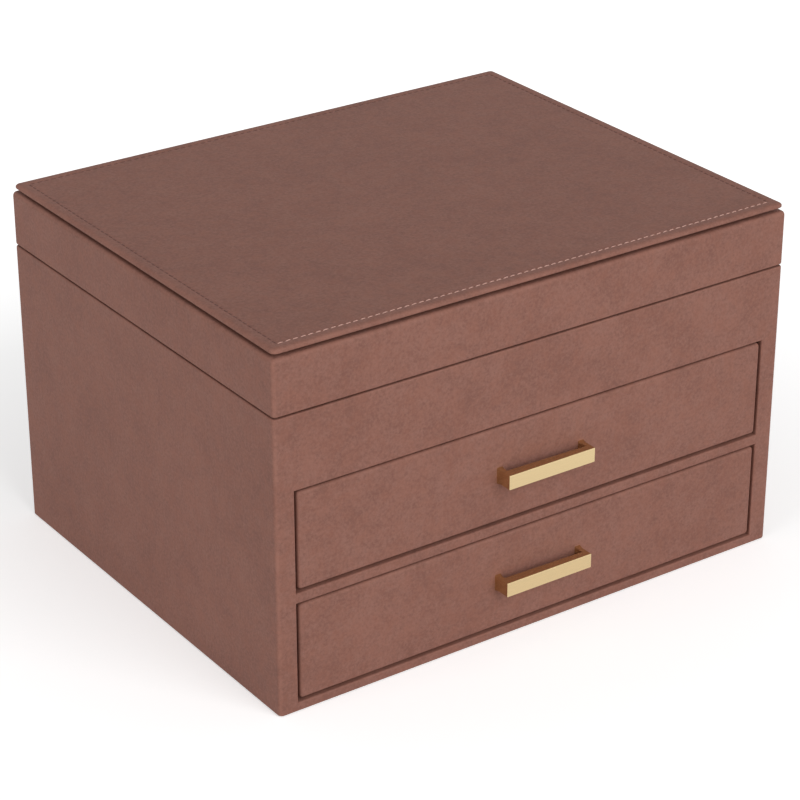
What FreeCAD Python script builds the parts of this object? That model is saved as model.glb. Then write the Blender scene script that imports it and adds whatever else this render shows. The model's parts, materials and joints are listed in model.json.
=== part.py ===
import FreeCAD, Part
import Sketcher
import os

# A leather-covered ring box: a case with a ring tray under a hinged lid, and two drawers below it.
# Millimetres. +X is to the right, the drawers face -Y, +Z is up.
# The origin is the middle of the underside, on the surface that the box stands on.

DOC = FreeCAD.newDocument("ring_box")
VECTOR = FreeCAD.Vector
ALONG_X = FreeCAD.Rotation(VECTOR(0, 1, 0), 90)  # turns a cylinder from along Z to along X
TO_FRONT = FreeCAD.Rotation(VECTOR(1, 0, 0), 90)  # turns it to run towards the front

SIZES = {
    # Case, measured over the leather
    "case_width": 260,
    "case_depth": 210,
    "opening_height": 45,
    "apron_height": 33.6,
    # Boards and coverings
    "leather": 0.8,
    "edge_ease": 0.7,
    "turn_in": 8,
    "side_board": 8,
    "front_board": 8,
    "back_board": 8,
    "base_board": 3,
    "shelf_board": 4,
    "tray_board": 4,
    "base_drop": 0.2,
    # Lid and its stitched panel
    "lid_seam": 0.4,
    "band_height": 24.6,
    "lid_wall": 8,
    "lid_top_board": 6,
    "reveal": 2.2,
    "spacer_inset": 7,
    "panel_inset": 0.7,
    "panel_thickness": 1.7,
    "panel_border": 3,
    "panel_leather": 0.4,
    "panel_corner": 1.5,
    "panel_edge": 0.8,
    "panel_under_edge": 0.3,
    "stitch_inset": 6,
    "stitch_channel": 1.2,
    "stitch_depth": 0.2,
    # Mirror inside the lid
    "mirror_width": 190,
    "mirror_depth": 140,
    "mirror_glass": 2,
    "mirror_lip": 3,
    "lip_thickness": 1,
    "frame_border": 8,
    "frame_ease": 0.6,
    # Ring tray
    "ring_section": 160,
    "roll_width": 18.5,
    "roll_height": 20,
    "roll_gap": 0.5,
    "soft_clearance": 0.3,
    "divider": 3,
    "divider_drop": 6,
    # Drawers
    "drawer_gap": 0.6,
    "drawer_clearance": 0.3,
    "drawer_front": 8,
    "drawer_side": 5,
    "drawer_back": 6,
    "drawer_base": 3,
    "front_ease": 1.2,
    "suede": 0.8,
    "drawer_travel": 140,
    "strip_thickness": 3,
    "strip_width": 8,
    "strip_length": 120,
    "strip_clearance": 0.6,
    "cell_drop": 3,
    "cell_width": 75,
    "lower_cell_width": 150,
    "halving_fit": 0.1,
    # Handles and their screws
    "handle_length": 44.5,
    "handle_height": 6.6,
    "handle_reach": 8.3,
    "handle_bar": 4.2,
    "handle_leg": 2.2,
    "foot_depth": 2,
    "foot_flare": 0.4,
    "handle_corner": 0.6,
    "screw_shank": 0.8,
    "screw_head": 1.8,
    "screw_head_height": 1.4,
    "screw_sink": 2,
    "screw_thread": 5,
    "screw_fit": 0.05,
    "screw_hole_fit": 0.2,
    # Stop hinges
    "hinge_length": 36,
    "hinge_inset": 42,
    "leaf_thickness": 1.2,
    "leaf_setback": 0.8,
    "leaf_fit": 0.1,
    "barrel_radius": 2.4,
    "barrel_clearance": 0.4,
    "knuckle_gap": 0.2,
    "pin_radius": 0.9,
    "pin_fit": 0.05,
    "stop_angle": 95,
    "stop_slack": 0.75,
    "stop_length": 4,
    "stop_reach": 2.4,
}

SHEET = DOC.addObject("Spreadsheet::Sheet", "sizes")
for row, (alias, number) in enumerate(SIZES.items(), start=1):
    SHEET.set(f"A{row}", alias.replace("_", " "))
    SHEET.set(f"B{row}", str(number))
    SHEET.setAlias(f"B{row}", alias)
DOC.recompute()

# Places worked out from the sizes, as expressions that the pieces are bound to.
HALF_WIDTH = "(sizes.case_width / 2)"
HALF_DEPTH = "(sizes.case_depth / 2)"
FACE_Y = f"(-{HALF_DEPTH})"
BOARD_X = f"({HALF_WIDTH} - sizes.leather)"
BOARD_Y = f"({HALF_DEPTH} - sizes.leather)"
BAY_X = f"({BOARD_X} - sizes.side_board)"
BAY_BACK = f"({BOARD_Y} - sizes.back_board)"
APRON_BACK = f"(sizes.front_board - {BOARD_Y})"
OPENING_X = f"({BAY_X} - sizes.leather)"
TURN_BACK = f"(sizes.turn_in - {BOARD_Y})"

# Heights, from the table up
BASE_BOTTOM = "(sizes.base_drop + sizes.leather)"
BASE_TOP = f"({BASE_BOTTOM} + sizes.base_board)"
LOWER_FLOOR = f"({BASE_TOP} + sizes.leather)"
LOWER_TOP = f"({LOWER_FLOOR} + sizes.opening_height)"
SHELF_BOTTOM = f"({LOWER_TOP} + sizes.leather)"
SHELF_TOP = f"({SHELF_BOTTOM} + sizes.shelf_board)"
UPPER_FLOOR = f"({SHELF_TOP} + sizes.leather)"
UPPER_TOP = f"({UPPER_FLOOR} + sizes.opening_height)"
TRAY_BOTTOM = f"({UPPER_TOP} + sizes.leather)"
TRAY_TOP = f"({TRAY_BOTTOM} + sizes.tray_board)"
CASE_TOP = f"({UPPER_TOP} + sizes.apron_height)"
WALL_TOP = f"({CASE_TOP} - sizes.leather)"

# Lid
LID_BOTTOM = f"({CASE_TOP} + sizes.lid_seam)"
LID_WALL_BOTTOM = f"({LID_BOTTOM} + sizes.leather)"
LID_TOP = f"({LID_BOTTOM} + sizes.band_height)"
LID_BOARD_TOP = f"({LID_TOP} - sizes.leather)"
LID_CEILING = f"({LID_BOARD_TOP} - sizes.lid_top_board)"
LID_X = f"({BOARD_X} - sizes.lid_wall)"
LID_Y = f"({BOARD_Y} - sizes.lid_wall)"
PANEL_X = f"({HALF_WIDTH} - sizes.panel_inset)"
PANEL_Y = f"({HALF_DEPTH} - sizes.panel_inset)"
PANEL_BOTTOM = f"({LID_TOP} + sizes.reveal)"
PANEL_TOP = f"({PANEL_BOTTOM} + sizes.panel_thickness)"

# Hinge axis
AXIS_Y = f"({HALF_DEPTH} + sizes.barrel_radius + sizes.barrel_clearance)"
AXIS_Z = f"({CASE_TOP} + sizes.lid_seam / 2)"
HINGE_X = f"({HALF_WIDTH} - sizes.hinge_inset - sizes.hinge_length / 2)"

THROUGH = 1.0  # how far a cutting tool runs past the piece that it cuts
TINY = 1e-6  # two places closer than this are the same
EDGE_SHARE = 0.6  # largest share of the panel's thickness that the rounding of its top edge may take
UNDER_SHARE = 0.3  # largest share of it that the easing of its lower edge may take
CORNER_SHARE = 0.9  # largest share of a handle's legs that the rounding behind its bar may take
NODES = []


def number(expression):
    """The value of an expression, in millimetres."""
    return float(SHEET.evalExpression(expression))


def both(expression):
    """A span that is symmetrical about zero."""
    return f"-({expression})", f"({expression})"


def grown(span, amount):
    """A span made longer by the amount at both ends."""
    low, high = span
    return f"({low}) - ({amount})", f"({high}) + ({amount})"


def keep(piece):
    """Hands a finished sub-part in under its own name."""
    NODES.append(piece)
    return piece


# ---------------------------------------------------------------- shapes and booleans

def place(piece, x, y, z):
    """Binds the place of a piece."""
    for axis, expression in (("x", x), ("y", y), ("z", z)):
        piece.setExpression(f"Placement.Base.{axis}", expression)


def stretch(piece, x, y, z):
    """Binds the three sizes of a block to three spans."""
    for side, (low, high) in (("Length", x), ("Width", y), ("Height", z)):
        piece.setExpression(side, f"({high}) - ({low})")


def block(name, x, y, z):
    """A plain block between two expressions along each axis."""
    piece = DOC.addObject("Part::Box", name)
    stretch(piece, x, y, z)
    place(piece, x[0], y[0], z[0])
    return piece


def eased(name, x, y, z, size, kind="Fillet", front_only=False):
    """A block with its edges rounded or chamfered, all of them or only those round its front face."""
    body = DOC.addObject("PartDesign::Body", name)
    blank = body.newObject("PartDesign::AdditiveBox", f"{name}_blank")
    stretch(blank, x, y, z)
    place(body, x[0], y[0], z[0])
    DOC.recompute()
    edges = []
    for count, edge in enumerate(blank.Shape.Edges, start=1):
        at_front = all(abs(corner.Y) < TINY for corner in edge.Vertexes)
        if at_front or not front_only:
            edges.append(f"Edge{count}")
    easing = body.newObject(f"PartDesign::{kind}", f"{name}_easing")
    easing.Base = (blank, edges)
    easing.setExpression("Radius" if kind == "Fillet" else "Size", size)
    return body


def cylinder(name, radius, length, turn=None):
    """A cylinder along Z, or along the way that the turn gives."""
    piece = DOC.addObject("Part::Cylinder", name)
    piece.setExpression("Radius", radius)
    piece.setExpression("Height", length)
    if turn:
        piece.Placement.Rotation = turn
    return piece


def fuse(name, pieces):
    """One solid from several."""
    whole = DOC.addObject("Part::MultiFuse", name)
    whole.Shapes = pieces
    return whole


def cut(name, base, tools):
    """The base without the tools."""
    tool = tools[0] if len(tools) == 1 else fuse(f"{name}_tools", tools)
    piece = DOC.addObject("Part::Cut", name)
    piece.Base = base
    piece.Tool = tool
    return piece


def common(name, base, tool):
    """What the base and the tool share."""
    piece = DOC.addObject("Part::Common", name)
    piece.Base = base
    piece.Tool = tool
    return piece


def group(name, pieces):
    """Separate solids of one kind, handed in together."""
    whole = DOC.addObject("Part::Compound", name)
    whole.Links = pieces
    return whole


def eased_board(name, x, y, z, core, tools=()):
    """A board whose outer edges follow the eased core of the case or lid."""
    blank = block(f"{name}_blank", x, y, z)
    if not tools:
        return keep(common(name, blank, core))
    return keep(cut(name, common(f"{name}_eased", blank, core), list(tools)))


def lined(name, x, y, z, thickness, open_top=True):
    """A covering of one thickness inside a space: four walls and a floor, or a ceiling."""
    outer = block(f"{name}_outer", x, y, z)
    inner_z = (f"{z[0]} + {thickness}", f"{z[1]} + {THROUGH}")
    if not open_top:
        inner_z = (f"{z[0]} - {THROUGH}", f"{z[1]} - {thickness}")
    inner = block(f"{name}_inner", grown(x, f"-{thickness}"), grown(y, f"-{thickness}"), inner_z)
    return keep(cut(name, outer, [inner]))


# ---------------------------------------------------------------- sketches

def origin_of(body, role):
    """One of a body's own origin planes or axes."""
    return next(item for item in body.Origin.OriginFeatures if item.Role == role)


def pin_down(sketch, geometry, corner, place_u, place_v):
    """Binds one point of a sketch to two expressions, measured from the origin."""
    for kind, axis, expression in (("DistanceX", -2, place_u), ("DistanceY", -1, place_v)):
        distance = number(expression)
        if abs(distance) < TINY:
            sketch.addConstraint(Sketcher.Constraint("PointOnObject", geometry, corner, axis))
            continue
        ends = (-1, 1, geometry, corner) if distance > 0 else (geometry, corner, -1, 1)
        index = sketch.addConstraint(Sketcher.Constraint(kind, *ends, abs(distance)))
        signed = expression if distance > 0 else f"-({expression})"
        sketch.setExpression(f"Constraints[{index}]", signed)


def sketch_on(body, name, role, offset=None):
    """An empty sketch on one of the body's own origin planes, or at an offset from it."""
    sketch = body.newObject("Sketcher::SketchObject", name)
    sketch.AttachmentSupport = [(origin_of(body, role), "")]
    sketch.MapMode = "FlatFace"
    if offset:
        sketch.setExpression("AttachmentOffset.Base.z", offset)
    return sketch


def outline(body, name, role, points, offset=None):
    """A closed sketch of straight lines through points given as pairs of expressions."""
    sketch = sketch_on(body, name, role, offset)
    corners = [VECTOR(number(u), number(v), 0) for u, v in points]
    lines = []
    for start, end in zip(corners, corners[1:] + corners[:1]):
        lines.append(sketch.addGeometry(Part.LineSegment(start, end), False))
    for line, following in zip(lines, lines[1:] + lines[:1]):
        sketch.addConstraint(Sketcher.Constraint("Coincident", line, 2, following, 1))
    for line, (place_u, place_v) in zip(lines, points):
        pin_down(sketch, line, 1, place_u, place_v)
    return sketch


def rectangle(body, name, role, middle_u, width, height, offset=None):
    """A rectangle sketch, centred on middle_u and on the sketch's own U axis."""
    left, right = f"{middle_u} - {width} / 2", f"{middle_u} + {width} / 2"
    low, high = f"-{height} / 2", f"{height} / 2"
    return outline(body, name, role, [(left, low), (right, low), (right, high), (left, high)], offset)


def circle(body, name, role, radius, offset=None):
    """A circle sketch about the origin."""
    sketch = sketch_on(body, name, role, offset)
    ring = Part.Circle(VECTOR(0, 0, 0), VECTOR(0, 0, 1), number(radius))
    curve = sketch.addGeometry(ring, False)
    sketch.addConstraint(Sketcher.Constraint("Coincident", curve, 3, -1, 1))
    index = sketch.addConstraint(Sketcher.Constraint("Radius", curve, number(radius)))
    sketch.setExpression(f"Constraints[{index}]", radius)
    return sketch


def pad(body, sketch, length, symmetric=False):
    """A pad of the sketch."""
    feature = body.newObject("PartDesign::Pad", f"{sketch.Name}_pad")
    feature.Profile = sketch
    feature.setExpression("Length", length)
    feature.SideType = "Symmetric" if symmetric else "One side"
    return feature


def repeat_along_x(body, name, features, extent, occurrences):
    """A row of copies of some features along the body's X axis."""
    pattern = body.newObject("PartDesign::LinearPattern", name)
    pattern.Originals = features
    pattern.Direction = (origin_of(body, "X_Axis"), [""])
    pattern.setExpression("Length", extent)
    pattern.Occurrences = occurrences
    body.Tip = pattern
    return pattern


# ---------------------------------------------------------------- hinges

PLATE_BACK = "(-sizes.barrel_radius - sizes.knuckle_gap)"
STOP_HALF = "(sizes.stop_angle / 2 + sizes.stop_slack)"
BARREL_LENGTH = "(sizes.hinge_length - 2 * sizes.stop_length)"
KNUCKLES = 3
KNUCKLE_PITCH = f"({BARREL_LENGTH} / {KNUCKLES})"


def plate_front(wall):
    """Front edge of a hinge leaf, from the hinge axis, in a wall of that thickness."""
    return f"(sizes.leaf_setback - {wall} - sizes.leather - sizes.barrel_radius - sizes.barrel_clearance)"


def hinge_leaf(name, hinge_x, wall, up, first_knuckle, knuckles):
    """A hinge leaf about its own axis: plate, knuckles with arms, bore, and a bevelled stop at each end."""
    body = DOC.addObject("PartDesign::Body", name)
    place(body, hinge_x, AXIS_Y, AXIS_Z)
    near = f"{up} * sizes.lid_seam / 2"
    far = f"{up} * (sizes.lid_seam / 2 + sizes.leaf_thickness)"
    drop = f"{up} * sizes.stop_reach * tan({STOP_HALF})"
    tip = f"sizes.lid_seam / 2 / tan({STOP_HALF})"
    front = plate_front(wall)

    plate_points = [(front, near), (PLATE_BACK, near), (PLATE_BACK, far), (front, far)]
    plate_sketch = outline(body, f"{name}_plate", "YZ_Plane", plate_points)
    pad(body, plate_sketch, "sizes.hinge_length", symmetric=True)

    start = f"-{BARREL_LENGTH} / 2 + {first_knuckle} * {KNUCKLE_PITCH} + sizes.knuckle_gap / 2"
    length = f"{KNUCKLE_PITCH} - sizes.knuckle_gap"
    arm_end = "-sizes.pin_radius"
    arm_points = [(PLATE_BACK, near), (arm_end, near), (arm_end, far), (PLATE_BACK, far)]
    arm = pad(body, outline(body, f"{name}_arm", "YZ_Plane", arm_points, start), length)
    knuckle = pad(body, circle(body, f"{name}_knuckle", "YZ_Plane", "sizes.barrel_radius", start), length)
    if knuckles > 1:
        extent = f"{2 * (knuckles - 1)} * {KNUCKLE_PITCH}"
        repeat_along_x(body, f"{name}_knuckles", [arm, knuckle], extent, knuckles)

    stop_points = [(PLATE_BACK, near), (tip, near), ("sizes.stop_reach", drop), (PLATE_BACK, drop)]
    stop_start = "-sizes.hinge_length / 2"
    stop_length = "sizes.stop_length - sizes.knuckle_gap / 2"
    stop = pad(body, outline(body, f"{name}_stop", "YZ_Plane", stop_points, stop_start), stop_length)
    repeat_along_x(body, f"{name}_stops", [stop], f"sizes.hinge_length - ({stop_length})", 2)

    bore = body.newObject("PartDesign::Pocket", f"{name}_bore")
    bore.Profile = circle(body, f"{name}_bore_circle", "YZ_Plane", "sizes.pin_radius + sizes.pin_fit")
    bore.setExpression("Length", BARREL_LENGTH)
    bore.SideType = "Symmetric"
    body.Tip = bore
    return body


def mortises(name, wall, z):
    """The two recesses that the hinge leaves lie in."""
    back = f"{HALF_DEPTH} + {THROUGH}"
    front = f"{AXIS_Y} + {plate_front(wall)} - sizes.leaf_fit"
    reach = "sizes.hinge_length / 2 + sizes.leaf_fit"
    recesses = []
    for side, hinge_x in (("left", f"-{HINGE_X}"), ("right", HINGE_X)):
        span = (f"{hinge_x} - ({reach})", f"{hinge_x} + {reach}")
        recesses.append(block(f"{name}_{side}", span, (front, back), z))
    return recesses


CASE_HINGE_CUTS = mortises("case_mortise", "sizes.back_board",
                           (f"{CASE_TOP} - sizes.leaf_thickness", f"{CASE_TOP} + {THROUGH}"))
LID_HINGE_CUTS = mortises("lid_mortise", "sizes.lid_wall",
                          (f"{LID_BOTTOM} - {THROUGH}", f"{LID_BOTTOM} + sizes.leaf_thickness"))


def hinges():
    """Two stop hinges: a leaf in the case, a leaf in the lid and a pin each."""
    for side, hinge_x in (("left", f"-{HINGE_X}"), ("right", HINGE_X)):
        keep(hinge_leaf(f"{side}_hinge_case_leaf", hinge_x, "sizes.back_board", -1, 0, 2))
        keep(hinge_leaf(f"{side}_hinge_lid_leaf", hinge_x, "sizes.lid_wall", 1, 1, 1))
        pin = cylinder(f"{side}_hinge_pin", "sizes.pin_radius", BARREL_LENGTH, ALONG_X)
        place(pin, f"{hinge_x} - {BARREL_LENGTH} / 2", AXIS_Y, AXIS_Z)
        keep(pin)


# ---------------------------------------------------------------- case

def opening(name, floor):
    """The space of one drawer opening, from in front of the case to behind the turned-in leather."""
    y = (f"{FACE_Y} - {THROUGH}", f"{TURN_BACK} + {THROUGH}")
    return block(name, both(OPENING_X), y, (floor, f"{floor} + sizes.opening_height"))


def opening_turn(name, floor):
    """A drawer opening with the leather that is turned into it, as one block."""
    z = grown((floor, f"{floor} + sizes.opening_height"), "sizes.leather")
    return block(name, both(BAY_X), (f"{FACE_Y} + sizes.leather / 2", TURN_BACK), z)


def case_boards(core):
    """The glued carcass: base, sides, back, apron, the shelf between the drawers and the tray's floor."""
    whole_x, whole_y = both(BOARD_X), both(BOARD_Y)
    bay_x = both(BAY_X)
    wall_z = (BASE_TOP, WALL_TOP)
    eased_board("base_board", whole_x, whole_y, (BASE_BOTTOM, BASE_TOP), core)
    eased_board("left_side_board", (f"-{BOARD_X}", f"-{BAY_X}"), whole_y, wall_z, core)
    eased_board("right_side_board", (BAY_X, BOARD_X), whole_y, wall_z, core)
    eased_board("back_board", bay_x, (BAY_BACK, BOARD_Y), wall_z, core, CASE_HINGE_CUTS)
    eased_board("apron_board", bay_x, (f"-{BOARD_Y}", APRON_BACK), (TRAY_BOTTOM, WALL_TOP), core)
    keep(block("drawer_shelf", bay_x, (f"-{BOARD_Y}", BAY_BACK), (SHELF_BOTTOM, SHELF_TOP)))
    keep(block("tray_floor", bay_x, (APRON_BACK, BAY_BACK), (TRAY_BOTTOM, TRAY_TOP)))


def case_leather(core):
    """The outer leather: round all sides, over the top edge, under the bottom and into the openings."""
    outer = eased("case_leather_form", both(HALF_WIDTH), both(HALF_DEPTH), ("sizes.base_drop", CASE_TOP),
                  "sizes.leather + sizes.edge_ease")
    skin = cut("case_leather_skin", outer, [core])
    tray_turn = block("case_leather_tray_turn", both(BAY_X), (APRON_BACK, BAY_BACK),
                      (f"{WALL_TOP} - sizes.turn_in", f"{CASE_TOP} - sizes.leather / 2"))
    turns = [
        opening_turn("lower_opening_turn", LOWER_FLOOR),
        opening_turn("upper_opening_turn", UPPER_FLOOR),
        tray_turn,
    ]
    mouth_z = (f"{WALL_TOP} - sizes.turn_in - {THROUGH}", f"{CASE_TOP} + {THROUGH}")
    mouth_y = grown((APRON_BACK, BAY_BACK), "-sizes.leather")
    under_y = grown(both(BOARD_Y), "-sizes.turn_in")
    spaces = [
        opening("lower_opening", LOWER_FLOOR),
        opening("upper_opening", UPPER_FLOOR),
        block("tray_mouth", both(OPENING_X), mouth_y, mouth_z),
        block("under_window", grown(both(BOARD_X), "-sizes.turn_in"), under_y, (f"-{THROUGH}", BASE_BOTTOM)),
    ]
    covered = fuse("case_leather_turned", [skin] + turns)
    keep(cut("case_leather", covered, spaces + CASE_HINGE_CUTS))


def case_linings():
    """The sheet under the base, the coverings that the drawers slide on, and the tray's suede."""
    edge = "-sizes.turn_in - sizes.leaf_fit"
    keep(block("base_cover", grown(both(BOARD_X), edge), grown(both(BOARD_Y), edge), ("0", BASE_BOTTOM)))
    for level, floor, ceiling in (("lower", BASE_TOP, SHELF_BOTTOM), ("upper", SHELF_TOP, TRAY_BOTTOM)):
        outer = block(f"{level}_bay_outer", both(BAY_X), (TURN_BACK, BAY_BACK), (floor, ceiling))
        inner_y = (f"{TURN_BACK} - {THROUGH}", f"{BAY_BACK} + {THROUGH}")
        inner_z = (f"{floor} + sizes.leather", f"{ceiling} + {THROUGH}")
        inner = block(f"{level}_bay_inner", both(OPENING_X), inner_y, inner_z)
        keep(cut(f"{level}_bay_lining", outer, [inner]))
    tray_z = (TRAY_TOP, f"{WALL_TOP} - sizes.turn_in")
    lined("tray_lining", both(BAY_X), (APRON_BACK, BAY_BACK), tray_z, "sizes.leather")


# Inside of the lined ring tray
TRAY_INNER_FLOOR = f"({TRAY_TOP} + sizes.leather)"
TRAY_INNER_FRONT = f"({APRON_BACK} + sizes.leather)"
TRAY_INNER_BACK = f"({BAY_BACK} - sizes.leather)"
DIVIDER_X = f"(sizes.ring_section - {OPENING_X})"


def ring_tray():
    """A row of padded ring rolls on the left, and two open compartments on the right."""
    divider_z = (TRAY_INNER_FLOOR, f"{CASE_TOP} - sizes.divider_drop")
    divider_y = (TRAY_INNER_FRONT, TRAY_INNER_BACK)
    keep(block("tray_divider", (DIVIDER_X, f"{DIVIDER_X} + sizes.divider"), divider_y, divider_z))
    middle = f"({TRAY_INNER_FRONT} + {TRAY_INNER_BACK}) / 2"
    cross_y = (f"{middle} - sizes.divider / 2", f"{middle} + sizes.divider / 2")
    keep(block("tray_cross_divider", (f"{DIVIDER_X} + sizes.divider", OPENING_X), cross_y, divider_z))

    pitch = "(sizes.roll_width + sizes.roll_gap)"
    room = f"({TRAY_INNER_BACK} - {TRAY_INNER_FRONT} - 2 * sizes.soft_clearance)"
    rolls = int(number(f"{room} / {pitch}"))
    first = f"({middle} - {rolls} * {pitch} / 2 + sizes.roll_gap / 2)"
    west = f"sizes.soft_clearance - {OPENING_X}"
    length = "sizes.ring_section - 2 * sizes.soft_clearance"
    x = (west, f"{west} + {length}")
    bottom = f"{TRAY_INNER_FLOOR} + sizes.soft_clearance"
    crown = f"{bottom} + sizes.roll_height - sizes.roll_width / 2"
    solids = []
    for count in range(rolls):
        front = f"{first} + {count} * {pitch}"
        name = f"ring_roll_{count + 1}"
        foot = block(f"{name}_foot", x, (front, f"{front} + sizes.roll_width"), (bottom, crown))
        top = cylinder(f"{name}_crown", "sizes.roll_width / 2", length, ALONG_X)
        place(top, west, f"{front} + sizes.roll_width / 2", crown)
        solids.append(fuse(name, [foot, top]))
    keep(group("ring_rolls", solids))


def case():
    """Everything that stays put."""
    core_z = (BASE_BOTTOM, WALL_TOP)
    core = eased("case_core", both(BOARD_X), both(BOARD_Y), core_z, "sizes.edge_ease", "Chamfer")
    case_boards(core)
    case_leather(core)
    case_linings()
    ring_tray()


# ---------------------------------------------------------------- lid

def lid_boards(core):
    """The lid's four walls with the top board glued on them."""
    wall_z = (LID_WALL_BOTTOM, LID_CEILING)
    whole_x, whole_y = both(BOARD_X), both(BOARD_Y)
    inner_x = both(LID_X)
    eased_board("lid_left_board", (f"-{BOARD_X}", f"-{LID_X}"), whole_y, wall_z, core)
    eased_board("lid_right_board", (LID_X, BOARD_X), whole_y, wall_z, core)
    eased_board("lid_front_board", inner_x, (f"-{BOARD_Y}", f"-{LID_Y}"), wall_z, core)
    eased_board("lid_back_board", inner_x, (LID_Y, BOARD_Y), wall_z, core, LID_HINGE_CUTS)
    eased_board("lid_top_board", whole_x, whole_y, (LID_CEILING, LID_BOARD_TOP), core)


def lid_leather(core):
    """The lid's leather: over the top, down the band and turned in round the mouth."""
    outer = eased("lid_leather_form", both(HALF_WIDTH), both(HALF_DEPTH), (LID_BOTTOM, LID_TOP),
                  "sizes.leather + sizes.edge_ease")
    skin = cut("lid_leather_skin", outer, [core])
    turn_z = (f"{LID_BOTTOM} + sizes.leather / 2", f"{LID_WALL_BOTTOM} + sizes.turn_in")
    mouth_z = (f"{LID_BOTTOM} - {THROUGH}", f"{LID_WALL_BOTTOM} + sizes.turn_in + {THROUGH}")
    turn = block("lid_leather_turn", both(LID_X), both(LID_Y), turn_z)
    mouth = block("lid_mouth", both(f"{LID_X} - sizes.leather"), both(f"{LID_Y} - sizes.leather"), mouth_z)
    covered = fuse("lid_leather_turned", [skin, turn])
    keep(cut("lid_leather", covered, [mouth] + LID_HINGE_CUTS))


def stitched_panel():
    """The panel on top: a stiff board in leather with a channel for its stitches, on a hidden spacer."""
    x, y, z = both(PANEL_X), both(PANEL_Y), (PANEL_BOTTOM, PANEL_TOP)
    body = DOC.addObject("PartDesign::Body", "panel_form")
    blank = body.newObject("PartDesign::AdditiveBox", "panel_blank")
    stretch(blank, x, y, z)
    place(body, x[0], y[0], z[0])
    DOC.recompute()
    corners = body.newObject("PartDesign::Fillet", "panel_corners")
    upright = [f"Edge{count}" for count, edge in enumerate(blank.Shape.Edges, start=1)
               if abs(edge.Vertexes[0].Z - edge.Vertexes[1].Z) > TINY]
    corners.Base = (blank, upright)
    corners.setExpression("Radius", "sizes.panel_corner")
    DOC.recompute()
    thickness = blank.Height.Value
    rim = [f"Edge{count}" for count, edge in enumerate(corners.Shape.Edges, start=1)
           if min(corner.Z for corner in edge.Vertexes) > thickness - TINY]
    edge_round = body.newObject("PartDesign::Fillet", "panel_edge_round")
    edge_round.Base = (corners, rim)
    edge_round.setExpression("Radius", f"min(sizes.panel_edge; sizes.panel_thickness * {EDGE_SHARE})")
    DOC.recompute()
    lower_rim = [f"Edge{count}" for count, edge in enumerate(edge_round.Shape.Edges, start=1)
                 if max(corner.Z for corner in edge.Vertexes) < TINY]
    lower_edge = body.newObject("PartDesign::Chamfer", "panel_lower_edge")
    lower_edge.Base = (edge_round, lower_rim)
    lower_edge.setExpression("Size", f"min(sizes.panel_under_edge; sizes.panel_thickness * {UNDER_SHARE})")

    channel_z = (f"{PANEL_TOP} - sizes.stitch_depth", f"{PANEL_TOP} + {THROUGH}")
    outside = "sizes.stitch_channel / 2 - sizes.stitch_inset"
    inside = "-sizes.stitch_channel / 2 - sizes.stitch_inset"
    channel_outer = block("stitch_channel_outer", grown(x, outside), grown(y, outside), channel_z)
    channel_inner = block("stitch_channel_inner", grown(x, inside), grown(y, inside), channel_z)
    channel = cut("stitch_channel_ring", channel_outer, [channel_inner])

    board_z = grown(z, "-sizes.panel_leather")
    board_x, board_y = grown(x, "-sizes.panel_border"), grown(y, "-sizes.panel_border")
    pocket = block("panel_board", board_x, board_y, board_z)
    keep(pocket)
    keep(cut("panel_leather", body, [pocket, channel]))
    inset = "-sizes.spacer_inset"
    keep(block("panel_spacer", grown(x, inset), grown(y, inset), (LID_TOP, PANEL_BOTTOM)))


def lid_mirror():
    """A mirror held against the lid's lining by the rebate of a covered frame."""
    top = f"({LID_CEILING} - sizes.leather)"
    glass_z = (f"{top} - sizes.mirror_glass", top)
    glass_x, glass_y = both("sizes.mirror_width / 2"), both("sizes.mirror_depth / 2")
    keep(block("lid_mirror", glass_x, glass_y, glass_z))
    frame_bottom = f"{top} - sizes.mirror_glass - sizes.lip_thickness"
    form_x, form_y = grown(glass_x, "sizes.frame_border"), grown(glass_y, "sizes.frame_border")
    form = eased("mirror_frame_form", form_x, form_y, (frame_bottom, top), "sizes.frame_ease", "Chamfer")
    rebate = block("mirror_rebate", grown(glass_x, "sizes.leaf_fit"), grown(glass_y, "sizes.leaf_fit"),
                   (glass_z[0], f"{top} + {THROUGH}"))
    window_x, window_y = grown(glass_x, "-sizes.mirror_lip"), grown(glass_y, "-sizes.mirror_lip")
    window_z = (f"{frame_bottom} - {THROUGH}", f"{top} + {THROUGH}")
    window = block("mirror_window", window_x, window_y, window_z)
    keep(cut("mirror_frame", form, [rebate, window]))


def lid():
    """Everything that swings on the hinges, apart from their leaves."""
    wall_z = (LID_WALL_BOTTOM, LID_BOARD_TOP)
    core = eased("lid_core", both(BOARD_X), both(BOARD_Y), wall_z, "sizes.edge_ease", "Chamfer")
    lid_boards(core)
    lid_leather(core)
    lined("lid_lining", both(LID_X), both(LID_Y), (f"{LID_WALL_BOTTOM} + sizes.turn_in", LID_CEILING),
          "sizes.leather", open_top=False)
    lid_mirror()
    stitched_panel()


# ---------------------------------------------------------------- drawers

FRONT_X = f"({OPENING_X} - sizes.drawer_gap)"
FRONT_BACK = f"({FACE_Y} + sizes.leather + sizes.drawer_front)"
DRAWER_REAR = f"({BAY_BACK} - sizes.drawer_clearance)"
REAR_INNER = f"({DRAWER_REAR} - sizes.drawer_back)"
SIDE_INNER = f"({FRONT_X} - sizes.drawer_side)"
LEG_X = "(sizes.handle_length / 2 - sizes.handle_leg / 2)"
SCREW_SEAT = f"({FRONT_BACK} - sizes.screw_sink)"


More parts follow.
